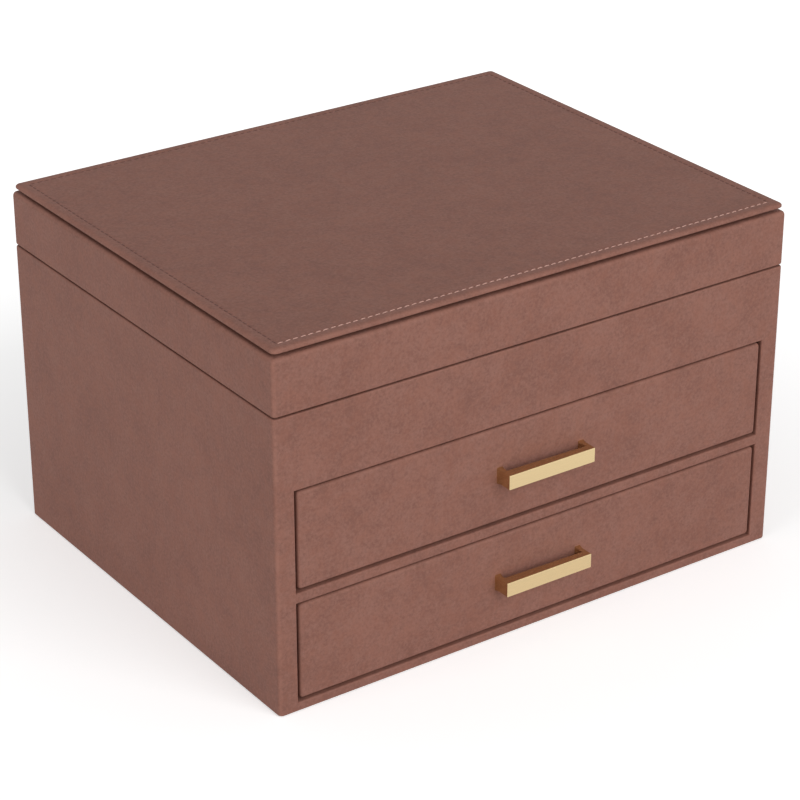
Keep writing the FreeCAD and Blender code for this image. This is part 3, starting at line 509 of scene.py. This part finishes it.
class PlaceStage(bpy.types.Operator):
    """Floor, world, soft studio lamps and the camera"""
    bl_idname = "ring_box.place_stage"
    bl_label = "Place the stage"

    AZIMUTH = math.radians(-34.99)
    ELEVATION = math.radians(26.27)
    DISTANCE = 1195.8 * MM
    AIM = Vector((0, 0, 80)) * MM
    SLIDE_RIGHT = 1.918 * MM
    SLIDE_UP = -14.523 * MM
    LENS = 121.5
    FLOOR_REACH = 4.0
    WHITE = (1, 1, 1, 1)
    AMBIENT = 0.32
    # the floor's own light near the box and far from it, and between which distances from the middle it grows
    LIFT_NEAR, LIFT_FAR = 0.46, 0.68
    LIFT_START, LIFT_END = 140 * MM, 480 * MM
    # name, azimuth and elevation of the lamp seen from the box, size, power
    LAMPS = (
        ("front_softbox", 8, 26, 3.4, 121),
        ("left_softbox", -84, 18, 2.8, 58),
    )
    LAMP_DISTANCE = 4.5

    def execute(self, context):
        scene = context.scene
        scene.view_settings.view_transform = "Standard"
        self.add_world(scene)
        self.add_floor()
        self.add_lamps()
        self.add_camera(scene)
        return {"FINISHED"}

    def add_world(self, scene):
        """White to the camera and in gloss, and plain even light on everything else."""
        scene.world = bpy.data.worlds.new("studio")
        tree = empty_tree(scene.world)
        lit, white = (node(tree, "Background", {"Color": self.WHITE, "Strength": strength})
                      for strength in (self.AMBIENT, 1))
        mixed = node(tree, "MixShader", {0: self.backdrop_rays(tree), 1: lit, 2: white})
        node(tree, "OutputWorld", {"Surface": mixed})

    def add_floor(self):
        """A pale floor that passes into the backdrop and keeps the box's shadow."""
        material = bpy.data.materials.new("painted_floor")
        tree = empty_tree(material)
        paint = node(tree, "BsdfDiffuse", {"Color": opaque(linear("f2f2f2"))})
        place = node(tree, "TexCoord", {}).outputs["Object"]
        away = node(tree, "VectorMath", {"operation": "LENGTH", 0: place}).outputs["Value"]
        growth = node(tree, "MapRange", {
            "interpolation_type": "SMOOTHSTEP", "Value": away, "From Min": self.LIFT_START,
            "From Max": self.LIFT_END, "To Min": self.LIFT_NEAR, "To Max": self.LIFT_FAR})
        lift = node(tree, "Emission", {"Color": self.WHITE, "Strength": growth})
        both = node(tree, "AddShader", {0: paint, 1: lift})
        mixed = node(tree, "MixShader", {0: self.backdrop_rays(tree), 1: paint, 2: both})
        node(tree, "OutputMaterial", {"Surface": mixed})
        mesh = bmesh.new()
        mesh.faces.new([mesh.verts.new((x * self.FLOOR_REACH, y * self.FLOOR_REACH, 0)) for x, y in CORNERS])
        data = as_data("floor", mesh)
        data.materials.append(material)
        add_object("floor", data)

    def add_lamps(self):
        """Square area lamps that all face the box."""
        for name, azimuth, elevation, size, power in self.LAMPS:
            data = bpy.data.lights.new(name, "AREA")
            data.size = size
            data.energy = power
            lamp = add_object(name, data)
            way = self.direction(math.radians(azimuth), math.radians(elevation))
            lamp.location = self.AIM + way * self.LAMP_DISTANCE
            lamp.rotation_euler = way.to_track_quat("Z", "Y").to_euler()

    def add_camera(self, scene):
        """A long lens from the front left, a little above."""
        data = bpy.data.cameras.new("camera")
        data.lens = self.LENS
        camera = add_object("camera", data)
        back = self.direction(self.AZIMUTH, self.ELEVATION)
        right = Vector((math.cos(self.AZIMUTH), math.sin(self.AZIMUTH), 0))
        up = back.cross(right)
        camera.location = self.AIM + back * self.DISTANCE + right * self.SLIDE_RIGHT + up * self.SLIDE_UP
        camera.rotation_euler = Matrix((right, up, back)).transposed().to_euler()
        scene.camera = camera

    @staticmethod
    def backdrop_rays(tree):
        """1 for rays that see the backdrop: straight from the camera, in gloss or through glass."""
        rays = node(tree, "LightPath", {}).outputs
        seen = rays["Is Camera Ray"]
        for kind in ("Is Glossy Ray", "Is Transmission Ray"):
            seen = node(tree, "Math", {"operation": "MAXIMUM", 0: seen, 1: rays[kind]})
        return seen

    @staticmethod
    def direction(azimuth, elevation):
        """The way from the box towards something at that azimuth, from the front, and elevation."""
        level = math.cos(elevation)
        return Vector((math.sin(azimuth) * level, -math.cos(azimuth) * level, math.sin(elevation)))


def mortises(side):
    """The recesses for the hinge leaves of one side, from their front edges out past the back."""
    blocks = []
    for hinge in HINGES:
        low, high = (corner.copy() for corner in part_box(f"{hinge}_{side}_leaf"))
        if side == "case":
            low.z = CASE[1].z - LEAF_PLATE
            high.z = CASE[1].z + LEAF_PAST
        else:
            low.z = LID[0].z - LEAF_PAST
            high.z = LID[0].z + LEAF_PLATE
        high.y = CASE[1].y + LEAF_PAST
        blocks.append((low - Vector((LEAF_FIT, LEAF_FIT, 0)), high + Vector((LEAF_FIT, 0, 0))))
    return blocks


class WrapCase(bpy.types.Operator):
    """One leatherette skin round the case, turned in at the openings, the tray's mouth and the base"""
    bl_idname = "ring_box.wrap_case"
    bl_label = "Wrap the case"

    def execute(self, context):
        sizes = context.scene.ring_box_sizes
        turn_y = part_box("upper_drawer_front")[1].y
        layers = [(True, CASE)]
        for drawer in DRAWERS:
            front_low, front_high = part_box(f"{drawer}_front_leather")
            hole_low = front_low - Vector((sizes.drawer_gap_left, 0, sizes.drawer_gap_under))
            hole_high = front_high + Vector((sizes.drawer_gap, 0, sizes.drawer_gap))
            hole_low.y = CASE[0].y - PAST
            hole_high.y = turn_y
            layers.append((False, (hole_low, hole_high)))
        skin = Vector((sizes.leather, sizes.leather, 0))
        mouth_low, mouth_high = TRAY[0] + skin, TRAY[1] - skin
        # the leatherette is turned in at one line over the openings and the mouth
        mouth_low.x, mouth_high.x = hole_low.x, hole_high.x
        mouth_low.z = TRAY[1].z
        mouth_high.z = CASE[1].z + PAST
        layers.append((False, (mouth_low, mouth_high)))
        mesh = stacked(layers)
        # the closed ends of the openings and of the tray's mouth
        ends = [face for face in mesh.faces if lies_on(face, 1, turn_y) or lies_on(face, 2, TRAY[1].z)]
        bmesh.ops.delete(mesh, geom=ends, context="FACES")
        upright = [edge for edge in block_edges(mesh, CASE) if self.is_upright(edge)]
        round_edges(mesh, upright, sizes.edge_round, segments=6)
        rims = [edge for edge in sharp_edges(mesh) if self.is_rim(edge)]
        round_edges(mesh, rims, sizes.mouth_round, segments=4)
        self.uncover_base(mesh)
        piece = add_cover("case_wrap", mesh, "case", "case_leather")
        thicken(piece, sizes.leather)
        carve(piece, mortises("case"))
        even_shading(piece)
        return {"FINISHED"}

    @staticmethod
    def uncover_base(mesh):
        """Takes the middle out of the underside, where the base cover shows."""
        for limit, across in itertools.product(BASE_COVER, (Vector((1, 0, 0)), Vector((0, 1, 0)))):
            under = [face for face in mesh.faces if lies_on(face, 2, CASE[0].z)]
            edges = dict.fromkeys(edge for face in under for edge in face.edges)
            verts = dict.fromkeys(vert for face in under for vert in face.verts)
            bmesh.ops.bisect_plane(mesh, geom=[*under, *edges, *verts], plane_co=limit, plane_no=across)
        middle = [face for face in mesh.faces if lies_on(face, 2, CASE[0].z) and
                  all(abs(face.calc_center_median()[axis]) < BASE_COVER[1][axis] for axis in (0, 1))]
        bmesh.ops.delete(mesh, geom=middle, context="FACES")

    @staticmethod
    def is_upright(edge):
        """True for an edge that stands upright."""
        start, end = edge.verts
        return abs(start.co.x - end.co.x) < TINY and abs(start.co.y - end.co.y) < TINY

    @staticmethod
    def is_rim(edge):
        """True for an edge at the front of an opening, at the parting or at the rim of the underside."""
        return any(lies_on(edge, axis, level)
                   for axis, level in ((1, CASE[0].y), (2, CASE[1].z), (2, CASE[0].z)))


def panel_bottom(sizes):
    """Height of the lid panel's underside."""
    return PANEL[1].z - sizes.panel_thickness


class WrapLid(bpy.types.Operator):
    """The leatherette over the lid's top and band, turned in round the mouth"""
    bl_idname = "ring_box.wrap_lid"
    bl_label = "Wrap the lid"

    def execute(self, context):
        sizes = context.scene.ring_box_sizes
        low, high = (corner.copy() for corner in LID)
        low.z = CASE[1].z + sizes.parting
        high.z = panel_bottom(sizes) - sizes.panel_reveal
        skin = Vector((sizes.leather, sizes.leather, 0))
        mouth = (LID_LINING[0] + skin, LID_LINING[1] - skin)
        mouth[1].z = LID_LINING[0].z
        mouth[0].z = low.z - PAST
        mesh = stacked([(True, (low, high)), (False, mouth)])
        ends = [face for face in mesh.faces if lies_on(face, 2, mouth[1].z)]
        bmesh.ops.delete(mesh, geom=ends, context="FACES")
        outer = [edge for edge in block_edges(mesh, (low, high)) if not lies_on(edge, 2, low.z)]
        round_edges(mesh, outer, sizes.edge_round, segments=6)
        rims = [edge for edge in sharp_edges(mesh) if lies_on(edge, 2, low.z)]
        round_edges(mesh, rims, sizes.mouth_round, segments=4)
        piece = add_cover("lid_wrap", mesh, "lid", "lid_leather")
        thicken(piece, sizes.leather)
        carve(piece, mortises("lid"))
        even_shading(piece)
        return {"FINISHED"}


def spaced(reach, insets, step):
    """Places along one side from -reach to reach: the insets at both ends, and even steps between."""
    edge = [reach - inset for inset in insets]
    inner = edge[-1]
    count = max(2, round(2 * inner / step))
    middle = [-inner + 2 * inner * index / count for index in range(1, count)]
    return sorted([-value for value in edge] + middle + edge)


def pillow(half_x, half_y, corner, insets, step, height):
    """A sheet in the XY plane with rounded corners, whose height depends on the distance from its edge."""
    across = spaced(half_x, insets, step)
    along = spaced(half_y, insets, step)
    mesh = bmesh.new()
    grid = []
    for x in across:
        column = []
        for y in along:
            inset = min(half_x - abs(x), half_y - abs(y))
            over_x = max(abs(x) - (half_x - corner), 0)
            over_y = max(abs(y) - (half_y - corner), 0)
            place_x, place_y = x, y
            if over_x > 0 and over_y > 0:
                pull = max(over_x, over_y) / math.hypot(over_x, over_y)
                place_x = math.copysign(half_x - corner + over_x * pull, x)
                place_y = math.copysign(half_y - corner + over_y * pull, y)
            column.append(mesh.verts.new((place_x, place_y, height(inset))))
        grid.append(column)
    for column, following in zip(grid, grid[1:]):
        for start in range(len(along) - 1):
            mesh.faces.new((column[start], following[start], following[start + 1], column[start + 1]))
    return mesh


def smooth_step(value):
    """0 below 0, 1 above 1 and a smooth rise between."""
    share = min(max(value, 0), 1)
    return share * share * (3 - 2 * share)


def edge_drop(inset, reach, fall):
    """How far a rounded edge lies below its flat face, at a distance in from the rim."""
    if inset >= reach:
        return 0
    return fall * (1 - math.sqrt(max(1 - (1 - inset / reach) ** 2, 0)))


def edge_steps(reach):
    """Distances in from the rim at which a rounded edge turns by even angles."""
    return [reach * (1 - math.cos(math.pi / 2 * turn / EDGE_TURNS)) for turn in range(EDGE_TURNS + 1)]


class SewPanel(bpy.types.Operator):
    """The panel on the lid, padded to a raised lip, and its row of stitches"""
    bl_idname = "ring_box.sew_panel"
    bl_label = "Sew the panel"

    # heights of the padded lip and of the sewn channel, and how far each takes to rise or fall
    LIP, LIP_REACH = 0.12 * MM, 2 * MM
    CHANNEL, CHANNEL_REACH = 0.28 * MM, 1.2 * MM
    UNDER_EDGE = 0.3 * MM
    # rows of the mesh, in from the edge: one on the lip, some across the channel, and those of the field
    LIP_ROW = 2.8 * MM
    CHANNEL_ROWS = (-1, -0.66, -0.33, 0, 0.33, 0.66, 1)
    FIELD_ROWS = (7 * MM, 9 * MM, 13 * MM)
    STEP = 9 * MM
    TURNS = 8
    RINGS = 8
    # the stitches' slant, and how much slant and length vary
    SLANT = math.radians(6)
    SLANT_SPREAD = (0.6, 1.4)
    LENGTH_SPREAD = (0.94, 1.06)
    SEED = 11
    THREAD_RISE = 0.12 * MM
    THREAD_DIP = 0.3 * MM
    HUMP_POWER = 4

    def execute(self, context):
        sizes = context.scene.ring_box_sizes
        self.sizes = sizes
        half = (LID[1] - LID[0]) / 2 - Vector((1, 1, 0)) * sizes.panel_inset
        channel = [sizes.stitch_inset + self.CHANNEL_REACH * share for share in self.CHANNEL_ROWS]
        insets = [*edge_steps(sizes.panel_edge), self.LIP_ROW, *channel, *self.FIELD_ROWS]
        mesh = pillow(half.x, half.y, sizes.panel_corner, insets, self.STEP, self.height)
        self.close_below(mesh)
        even_shading(add_cover("lid_panel", mesh, "lid", "panel_leather"))
        colours = context.scene.ring_box_colours
        front, others = self.stitches(half)
        # the front row gets the pale thread as a painted highlight, the other rows the darker thread as painted
        # shade
        for row, material, mesh, colour in (("front", "rubbed_thread", front, colours.thread_front_highlight),
                                            ("sides", "twisted_thread", others, colours.thread)):
            thread = finish(twisted_thread, material, tuple(colour))
            add_piece(f"panel_stitching_{row}", mesh, thread, "lid")
        return {"FINISHED"}

    def height(self, inset):
        """Height of the panel's upper face: its rounded edge, padded lip, sewn channel and field."""
        sizes = self.sizes
        past_stitch = (inset - sizes.stitch_inset) / self.CHANNEL_REACH
        border = self.LIP * smooth_step(inset / self.LIP_REACH) * (1 - smooth_step(past_stitch))
        channel = self.CHANNEL * (1 - smooth_step(abs(past_stitch)))
        return PANEL[1].z - edge_drop(inset, sizes.panel_edge, sizes.panel_fall) + border - channel

    def close_below(self, mesh):
        """Adds the panel's edge and underside to its upper face."""
        bottom = panel_bottom(self.sizes)
        for vert in extrude_rim(mesh):
            vert.co.z = bottom + self.UNDER_EDGE
        for vert in extrude_rim(mesh):
            vert.co -= Vector((vert.co.x, vert.co.y, 0)).normalized() * self.UNDER_EDGE
            vert.co.z = bottom
        bmesh.ops.contextual_create(mesh, geom=open_rim(mesh))
        bmesh.ops.recalc_face_normals(mesh, faces=mesh.faces)

    def stitches(self, half):
        """The stitches of the front row and those of the other rows.

        Each is a short arch of thread that dips into the leatherette at both ends.
        """
        sizes = self.sizes
        front, others = bmesh.new(), bmesh.new()
        reach = Vector((half.x - sizes.stitch_inset, half.y - sizes.stitch_inset, 0))
        corners = [Vector((x * reach.x, y * reach.y, 0)) for x, y in CORNERS]
        draw = random.Random(self.SEED)
        for start, end in zip(corners, corners[1:] + corners[:1]):
            way = (end - start).normalized()
            count = round((end - start).length / sizes.stitch_pitch)
            pitch = (end - start).length / count
            mesh = front if start.y < 0 and end.y < 0 else others
            for index in range(count):
                middle = start + way * (index + 0.5) * pitch
                slant = Matrix.Rotation(self.SLANT * draw.uniform(*self.SLANT_SPREAD), 3, "Z")
                length = sizes.stitch_length * draw.uniform(*self.LENGTH_SPREAD)
                self.stitch(mesh, middle, slant @ way, length)
        return front, others

    def stitch(self, mesh, middle, way, length):
        """One stitch as a tube that lies along the channel and dives into it at both ends."""
        side = Vector((-way.y, way.x, 0))
        up = Vector((0, 0, 1))
        radius = self.sizes.thread / 2
        ground = self.height(self.sizes.stitch_inset)
        rings = []
        for ring in range(self.RINGS + 1):
            share = ring / self.RINGS
            hump = 1 - abs(2 * share - 1) ** self.HUMP_POWER
            place = middle + way * (share - 0.5) * length
            place.z = ground + self.THREAD_RISE * hump - self.THREAD_DIP * (1 - hump)
            rings.append([
                mesh.verts.new(place + side * radius * math.cos(angle) + up * radius * math.sin(angle))
                for angle in angles_round(self.TURNS)])
        loft(mesh, rings)


class CoverFronts(bpy.types.Operator):
    """The leatherette on the two drawer fronts, crowned a little and turned over their edges"""
    bl_idname = "ring_box.cover_fronts"
    bl_label = "Cover the drawer fronts"

    CROWN = 0.18 * MM
    CROWN_REACH = 8 * MM
    FIELD_ROWS = (3.2 * MM, 6 * MM, 10 * MM)
    STEP = 12 * MM

    def execute(self, context):
        sizes = context.scene.ring_box_sizes
        edge = sizes.front_round

        def height(inset):
            swell = self.CROWN * smooth_step((inset - edge) / self.CROWN_REACH)
            return swell - self.CROWN - edge_drop(inset, edge, edge)

        for drawer in DRAWERS:
            low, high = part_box(f"{drawer}_front_leather")
            half = (high - low) / 2
            middle = (high + low) / 2
            mesh = pillow(half.x, half.z, edge, [*edge_steps(edge), *self.FIELD_ROWS], self.STEP, height)
            for vert in extrude_rim(mesh):
                vert.co.z = low.y - high.y
            bmesh.ops.recalc_face_normals(mesh, faces=mesh.faces)
            if max(mesh.faces, key=lambda face: face.calc_area()).normal.z < 0:
                bmesh.ops.reverse_faces(mesh, faces=mesh.faces)
            place = Matrix.Translation((middle.x, low.y, middle.z))
            mesh.transform(place @ Matrix.Rotation(math.pi / 2, 4, "X"))
            piece = add_cover(f"{drawer}_front_wrap", mesh, drawer, f"{drawer}_front_leather")
            thicken(piece, sizes.leather)
            even_shading(piece)
        return {"FINISHED"}


class FitHandles(bpy.types.Operator):
    """The two bar handles, with crisp eased edges and feet that flare out to the leatherette"""
    bl_idname = "ring_box.fit_handles"
    bl_label = "Fit the handles"

    BAR = 4.2 * MM
    LEG = 2.2 * MM
    FOOT = 2 * MM
    FLARE = 0.4 * MM
    INNER_ROUND = 0.6 * MM
    EDGE = 0.25 * MM

    def execute(self, context):
        colours = context.scene.ring_box_colours
        metal = finish(brushed_metal, "satin_plated_brass", colours.plating, 0.17, 0.25)
        for drawer in DRAWERS:
            low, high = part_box(f"{drawer}_handle")
            mesh = self.casting(low, high)
            piece = add_piece(
                f"{drawer}_bar_handle", mesh, metal, drawer, [f"{drawer}_handle"])
            even_shading(piece)
        return {"FINISHED"}

    def casting(self, low, high):
        """The bar, two legs and their feet, in one piece."""
        centre = (low.z + high.z) / 2
        # the box of the node includes the flare of the feet
        left, right = low.x + self.FLARE, high.x - self.FLARE
        bottom, top = low.z + self.FLARE, high.z - self.FLARE
        foot = high.y - self.FOOT
        bar_back = low.y + self.BAR
        layers = [(True, (Vector((left, low.y, bottom)), Vector((right, bar_back, top))))]
        for start, end in ((left, left + self.LEG), (right - self.LEG, right)):
            layers.append((True, (Vector((start, low.y, bottom)), Vector((end, foot, top)))))
            layers.append((True, (Vector((start, foot, bottom)), Vector((end, high.y, top)))))
        mesh = stacked(layers)
        for vert in mesh.verts:
            if abs(vert.co.y - high.y) < TINY:
                leg_middle = math.copysign(right - self.LEG / 2, vert.co.x)
                vert.co.x += math.copysign(self.FLARE, vert.co.x - leg_middle)
                vert.co.z += math.copysign(self.FLARE, vert.co.z - centre)
        inner = [edge for edge in sharp_edges(mesh) if self.is_inner_corner(edge, bar_back, right - self.LEG)]
        round_edges(mesh, inner, self.INNER_ROUND, segments=4)
        bmesh.ops.dissolve_limit(mesh, angle_limit=math.radians(1), verts=mesh.verts, edges=mesh.edges)
        crisp = [edge for edge in sharp_edges(mesh) if edge.is_convex and not lies_on(edge, 1, high.y)]
        round_edges(mesh, crisp, self.EDGE, segments=3)
        return mesh

    @staticmethod
    def is_inner_corner(edge, bar_back, leg_inner):
        """True for the edges round the bar's back between the legs, and so for the corners with the legs."""
        return lies_on(edge, 1, bar_back) and all(
            abs(abs(vert.co.x) - leg_inner) < TINY for vert in edge.verts)


class ScrewHinges(bpy.types.Operator):
    """The cross-head screws in the hinge leaves, three in each"""
    bl_idname = "ring_box.screw_hinges"
    bl_label = "Screw the hinges on"

    HEAD = 3.4 * MM
    # the profile of an oval head: share of the radius, height
    PROFILE = ((1, 0), (0.98, 0.05 * MM), (0.85, 0.1 * MM), (0.6, 0.14 * MM), (0.3, 0.155 * MM))
    CROSS = 1.9 * MM
    CROSS_WIDTH = 0.42 * MM
    TURNS = 32
    CROSS_FLOOR = 0.02 * MM
    FROM_END = 6 * MM
    FROM_FRONT = 3.6 * MM
    SEED = 5

    def execute(self, context):
        head = self.head()
        draw = random.Random(self.SEED)
        for hinge in HINGES:
            for side, level, flip in (("case", CASE[1].z, 0), ("lid", LID[0].z, math.pi)):
                low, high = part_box(f"{hinge}_{side}_leaf")
                mesh = bmesh.new()
                for x in (low.x + self.FROM_END, (low.x + high.x) / 2, high.x - self.FROM_END):
                    seat = Matrix.Translation((x, low.y + self.FROM_FRONT, level))
                    turned = Matrix.Rotation(draw.uniform(0, math.pi), 4, "Z")
                    self.add_head(mesh, head, seat @ Matrix.Rotation(flip, 4, "X") @ turned)
                add_piece(f"{hinge}_{side}_screws", mesh, polished_brass(), side)
        bpy.data.meshes.remove(head)
        return {"FINISHED"}

    def head(self):
        """One oval head with its cross recess, as mesh data about its own centre."""
        mesh = bmesh.new()
        rings = []
        for share, height in self.PROFILE:
            radius = self.HEAD / 2 * share
            rings.append([mesh.verts.new((radius * math.cos(angle), radius * math.sin(angle), height))
                          for angle in angles_round(self.TURNS)])
        loft(mesh, rings)
        blank = add_object("screw_head", as_data("screw_head", mesh))
        long, narrow = self.CROSS / 2, self.CROSS_WIDTH / 2
        carve(blank, [(Vector((-x, -y, self.CROSS_FLOOR)), Vector((x, y, PAST)))
                      for x, y in ((long, narrow), (narrow, long))])
        data = blank.data
        bpy.data.objects.remove(blank)
        return data

    @staticmethod
    def add_head(mesh, head, place):
        """Adds a copy of the head to a mesh, at that place."""
        known = set(mesh.verts)
        mesh.from_mesh(head)
        bmesh.ops.transform(mesh, matrix=place, verts=[vert for vert in mesh.verts if vert not in known])


class StuffRolls(bpy.types.Operator):
    """The ring rolls: velvet sewn round foam, which hold rings in the gaps between them"""
    bl_idname = "ring_box.stuff_rolls"
    bl_label = "Stuff the ring rolls"

    STATIONS = 60
    POINTS = 28
    SIDE_ROOM = 0.12 * MM
    # the rounding of the ends: over what length, and down to what share of the section
    END = 6 * MM
    END_SHARE = 0.5
    # the power of the section's outline: 2 for an ellipse, more for a squarer one
    SQUARE = 3
    # dents along the top, as a share of its height, and fine creases, each with the scale of its noise
    DENT, DENT_SCALE = 0.05, 45
    CREASE, CREASE_SCALE, CREASE_SCALE_X = 0.15 * MM, 260, 220
    # the steps through the noise that make the kinds and the rolls differ
    KIND_STEP, ROLL_STEP = 7.3, 3.1
    FILL = 0.8
    KINDS = 3
    # the cover starts a little smaller than the foam, because it swells
    START = 0.95
    # the simulation runs on a model ten times as large, where the solver's time steps suit the cloth
    MODEL = 10
    VOXEL = 2.4 * MM
    PRESSURE = 4
    FRAMES = 20
    MOST_SWELL = 1.5 * MM

    def execute(self, context):
        sizes = context.scene.ring_box_sizes
        colours = context.scene.ring_box_colours
        velvet = finish(napped_cloth, "cut_velvet", tuple(colours.lining), 0.7, 0.6)
        low, high = ROLLS
        room = Vector((high.x - low.x, sizes.roll_pitch - sizes.roll_gap, high.z - low.z))
        count = round((high.y - low.y + sizes.roll_gap) / sizes.roll_pitch)
        kinds = [self.stuffed(room, kind) for kind in range(self.KINDS)]
        for index in range(count):
            mesh = bmesh.new()
            mesh.from_mesh(kinds[index % self.KINDS])
            front = low.y + index * sizes.roll_pitch
            self.lay(mesh, room, Vector((low.x, front, low.z)), index)
            piece = add_piece(f"ring_roll_{index + 1}", mesh, velvet, "case", ["ring_rolls"])
        for kind in kinds:
            bpy.data.meshes.remove(kind)
        return {"FINISHED"}

    def stuffed(self, room, seed):
        """A roll's cover as mesh data from its own low corner, blown up by a cloth simulation."""
        mesh = self.cover(room, seed)
        bmesh.ops.scale(mesh, vec=(self.MODEL, self.MODEL, self.MODEL), verts=mesh.verts)
        blank = add_object("roll_cover", as_data("roll_cover", mesh))
        modify(blank, "even_cloth", "REMESH", mode="VOXEL", voxel_size=self.VOXEL * self.MODEL)
        settle(blank)
        start = [vert.co.copy() for vert in blank.data.vertices]
        cloth = modify(blank, "stuffing", "CLOTH").settings
        cloth.use_pressure = True
        cloth.uniform_pressure_force = self.PRESSURE
        cloth.effector_weights.gravity = 0
        scene = bpy.context.scene
        for frame_number in range(1, self.FRAMES + 1):
            scene.frame_set(frame_number)
        settle(blank)
        scene.frame_set(1)
        most = self.MOST_SWELL * self.MODEL
        for vert, before in zip(blank.data.vertices, start):
            moved = vert.co - before
            if moved.length > most:
                vert.co = before + moved.normalized() * most
            vert.co /= self.MODEL
        modify(blank, "finer", "SUBSURF", levels=1)
        settle(blank)
        data = blank.data
        bpy.data.objects.remove(blank)
        return data

    def cover(self, room, seed):
        """The cover before it is stuffed: rounded sections that draw in at both ends."""
        mesh = bmesh.new()
        rings = []
        for station in range(self.STATIONS + 1):
            # closer stations at the ends, where the form turns
            share = (1 - math.cos(math.pi * station / self.STATIONS)) / 2
            x = share * room.x
            from_end = min(x, room.x - x)
            full = math.sqrt(max(1 - (1 - min(from_end / self.END, 1)) ** 2, 0.0))
            scale = self.START * (self.END_SHARE + (1 - self.END_SHARE) * full)
            dent = 1 + self.DENT * noise.noise(Vector((x * self.DENT_SCALE, seed * self.KIND_STEP, 0)))
            ring = []
            for angle in angles_round(self.POINTS):
                across, rise = math.cos(angle), math.sin(angle)
                norm = (abs(across) ** self.SQUARE + abs(rise) ** self.SQUARE) ** (1 / self.SQUARE)
                y = room.y / 2 * (1 + across / norm * scale)
                z = room.z / 2 * (1 + rise / norm * scale * (dent if rise > 0 else 1))
                ring.append(mesh.verts.new((x, y, z)))
            rings.append(ring)
        loft(mesh, rings)
        bmesh.ops.recalc_face_normals(mesh, faces=mesh.faces)
        return mesh

    def lay(self, mesh, room, corner, index):
        """Lays a roll in its place, clear of its neighbours and turned round every other time."""
        for vert in mesh.verts:
            place = vert.co
            at = Vector((place.x * self.CREASE_SCALE_X, place.y * self.CREASE_SCALE,
                         place.z * self.CREASE_SCALE + index * self.ROLL_STEP))
            place.z += noise.noise(at) * self.CREASE * smooth_step(place.z / room.z)
            place.x = min(max(place.x, 0), room.x)
            place.y = min(max(place.y, self.SIDE_ROOM), room.y - self.SIDE_ROOM)
            place.z = min(max(place.z, 0), room.z)
        if index % 2:
            mesh.transform(Matrix.Translation((room.x, room.y, 0)) @ Matrix.Rotation(math.pi, 4, "Z"))
        mesh.transform(Matrix.Translation(corner))


class DressFrame(bpy.types.Operator):
    """Finishes for the boards, linings, dividers, mirror, felt and hinges that come from the frame"""
    bl_idname = "ring_box.dress_frame"
    bl_label = "Dress the frame"

    PADDED_ROUND = 0.6 * MM

    def execute(self, context):
        colours = context.scene.ring_box_colours
        suede = napped_cloth("brushed_microsuede", tuple(colours.lining), 0.45, 0.35)
        finishes = {
            "suede_lining": suede,
            "roll_velvet": suede,
            "bay_lining": napped_cloth("flocked_lining", linear("6b4f45"), 0.4, 0.25),
            "base_felt": napped_cloth("needled_felt", linear("3b2d27"), 1.1, 0.15),
            "fibreboard": pressed_fibreboard("pressed_fibreboard"),
            "screw_steel": brushed_metal("zinc_plated_steel", linear("b9bcc0"), 0.32, 0.3),
            "mirror": silvered_glass("silvered_glass"),
            "hinge_brass": polished_brass(),
            "cover_leather": leatherette(),
            "satin_brass": polished_brass(),
        }
        for part in frame["record"]["subparts"]:
            name = part["node"]
            padded = "divider" in name or name == "mirror_frame"
            dress(name, finishes[part["material_slot"]], self.PADDED_ROUND if padded else 0)
        return {"FINISHED"}


class RingBoxPanel(bpy.types.Panel):
    """Lists the steps, in the order in which they run"""
    bl_idname = "RINGBOX_PT_steps"
    bl_label = "Ring box"
    bl_space_type = "VIEW_3D"
    bl_region_type = "UI"
    bl_category = "Ring box"

    def draw(self, context):
        for group in (context.scene.ring_box_sizes, context.scene.ring_box_colours):
            for name in group.__annotations__:
                self.layout.prop(group, name)
        for step in STEPS:
            self.layout.operator(step.bl_idname)


STEPS = (PlaceStage, DressFrame, WrapCase, WrapLid, SewPanel, CoverFronts, FitHandles, ScrewHinges,
         StuffRolls)
CLASSES = (RingBoxSizes, RingBoxColours, *STEPS, RingBoxPanel)


def register():
    """Adds the classes and their settings to the scene."""
    for kind in CLASSES:
        bpy.utils.register_class(kind)
    bpy.types.Scene.ring_box_sizes = PointerProperty(type=RingBoxSizes)
    bpy.types.Scene.ring_box_colours = PointerProperty(type=RingBoxColours)


def unregister():
    """Takes the classes and their settings away again."""
    del bpy.types.Scene.ring_box_colours
    del bpy.types.Scene.ring_box_sizes
    for kind in reversed(CLASSES):
        bpy.utils.unregister_class(kind)


def main():
    """Runs every step."""
    register()
    for step in STEPS:
        family, name = step.bl_idname.split(".")
        getattr(getattr(bpy.ops, family), name)()


if __name__ == "__main__":
    main()
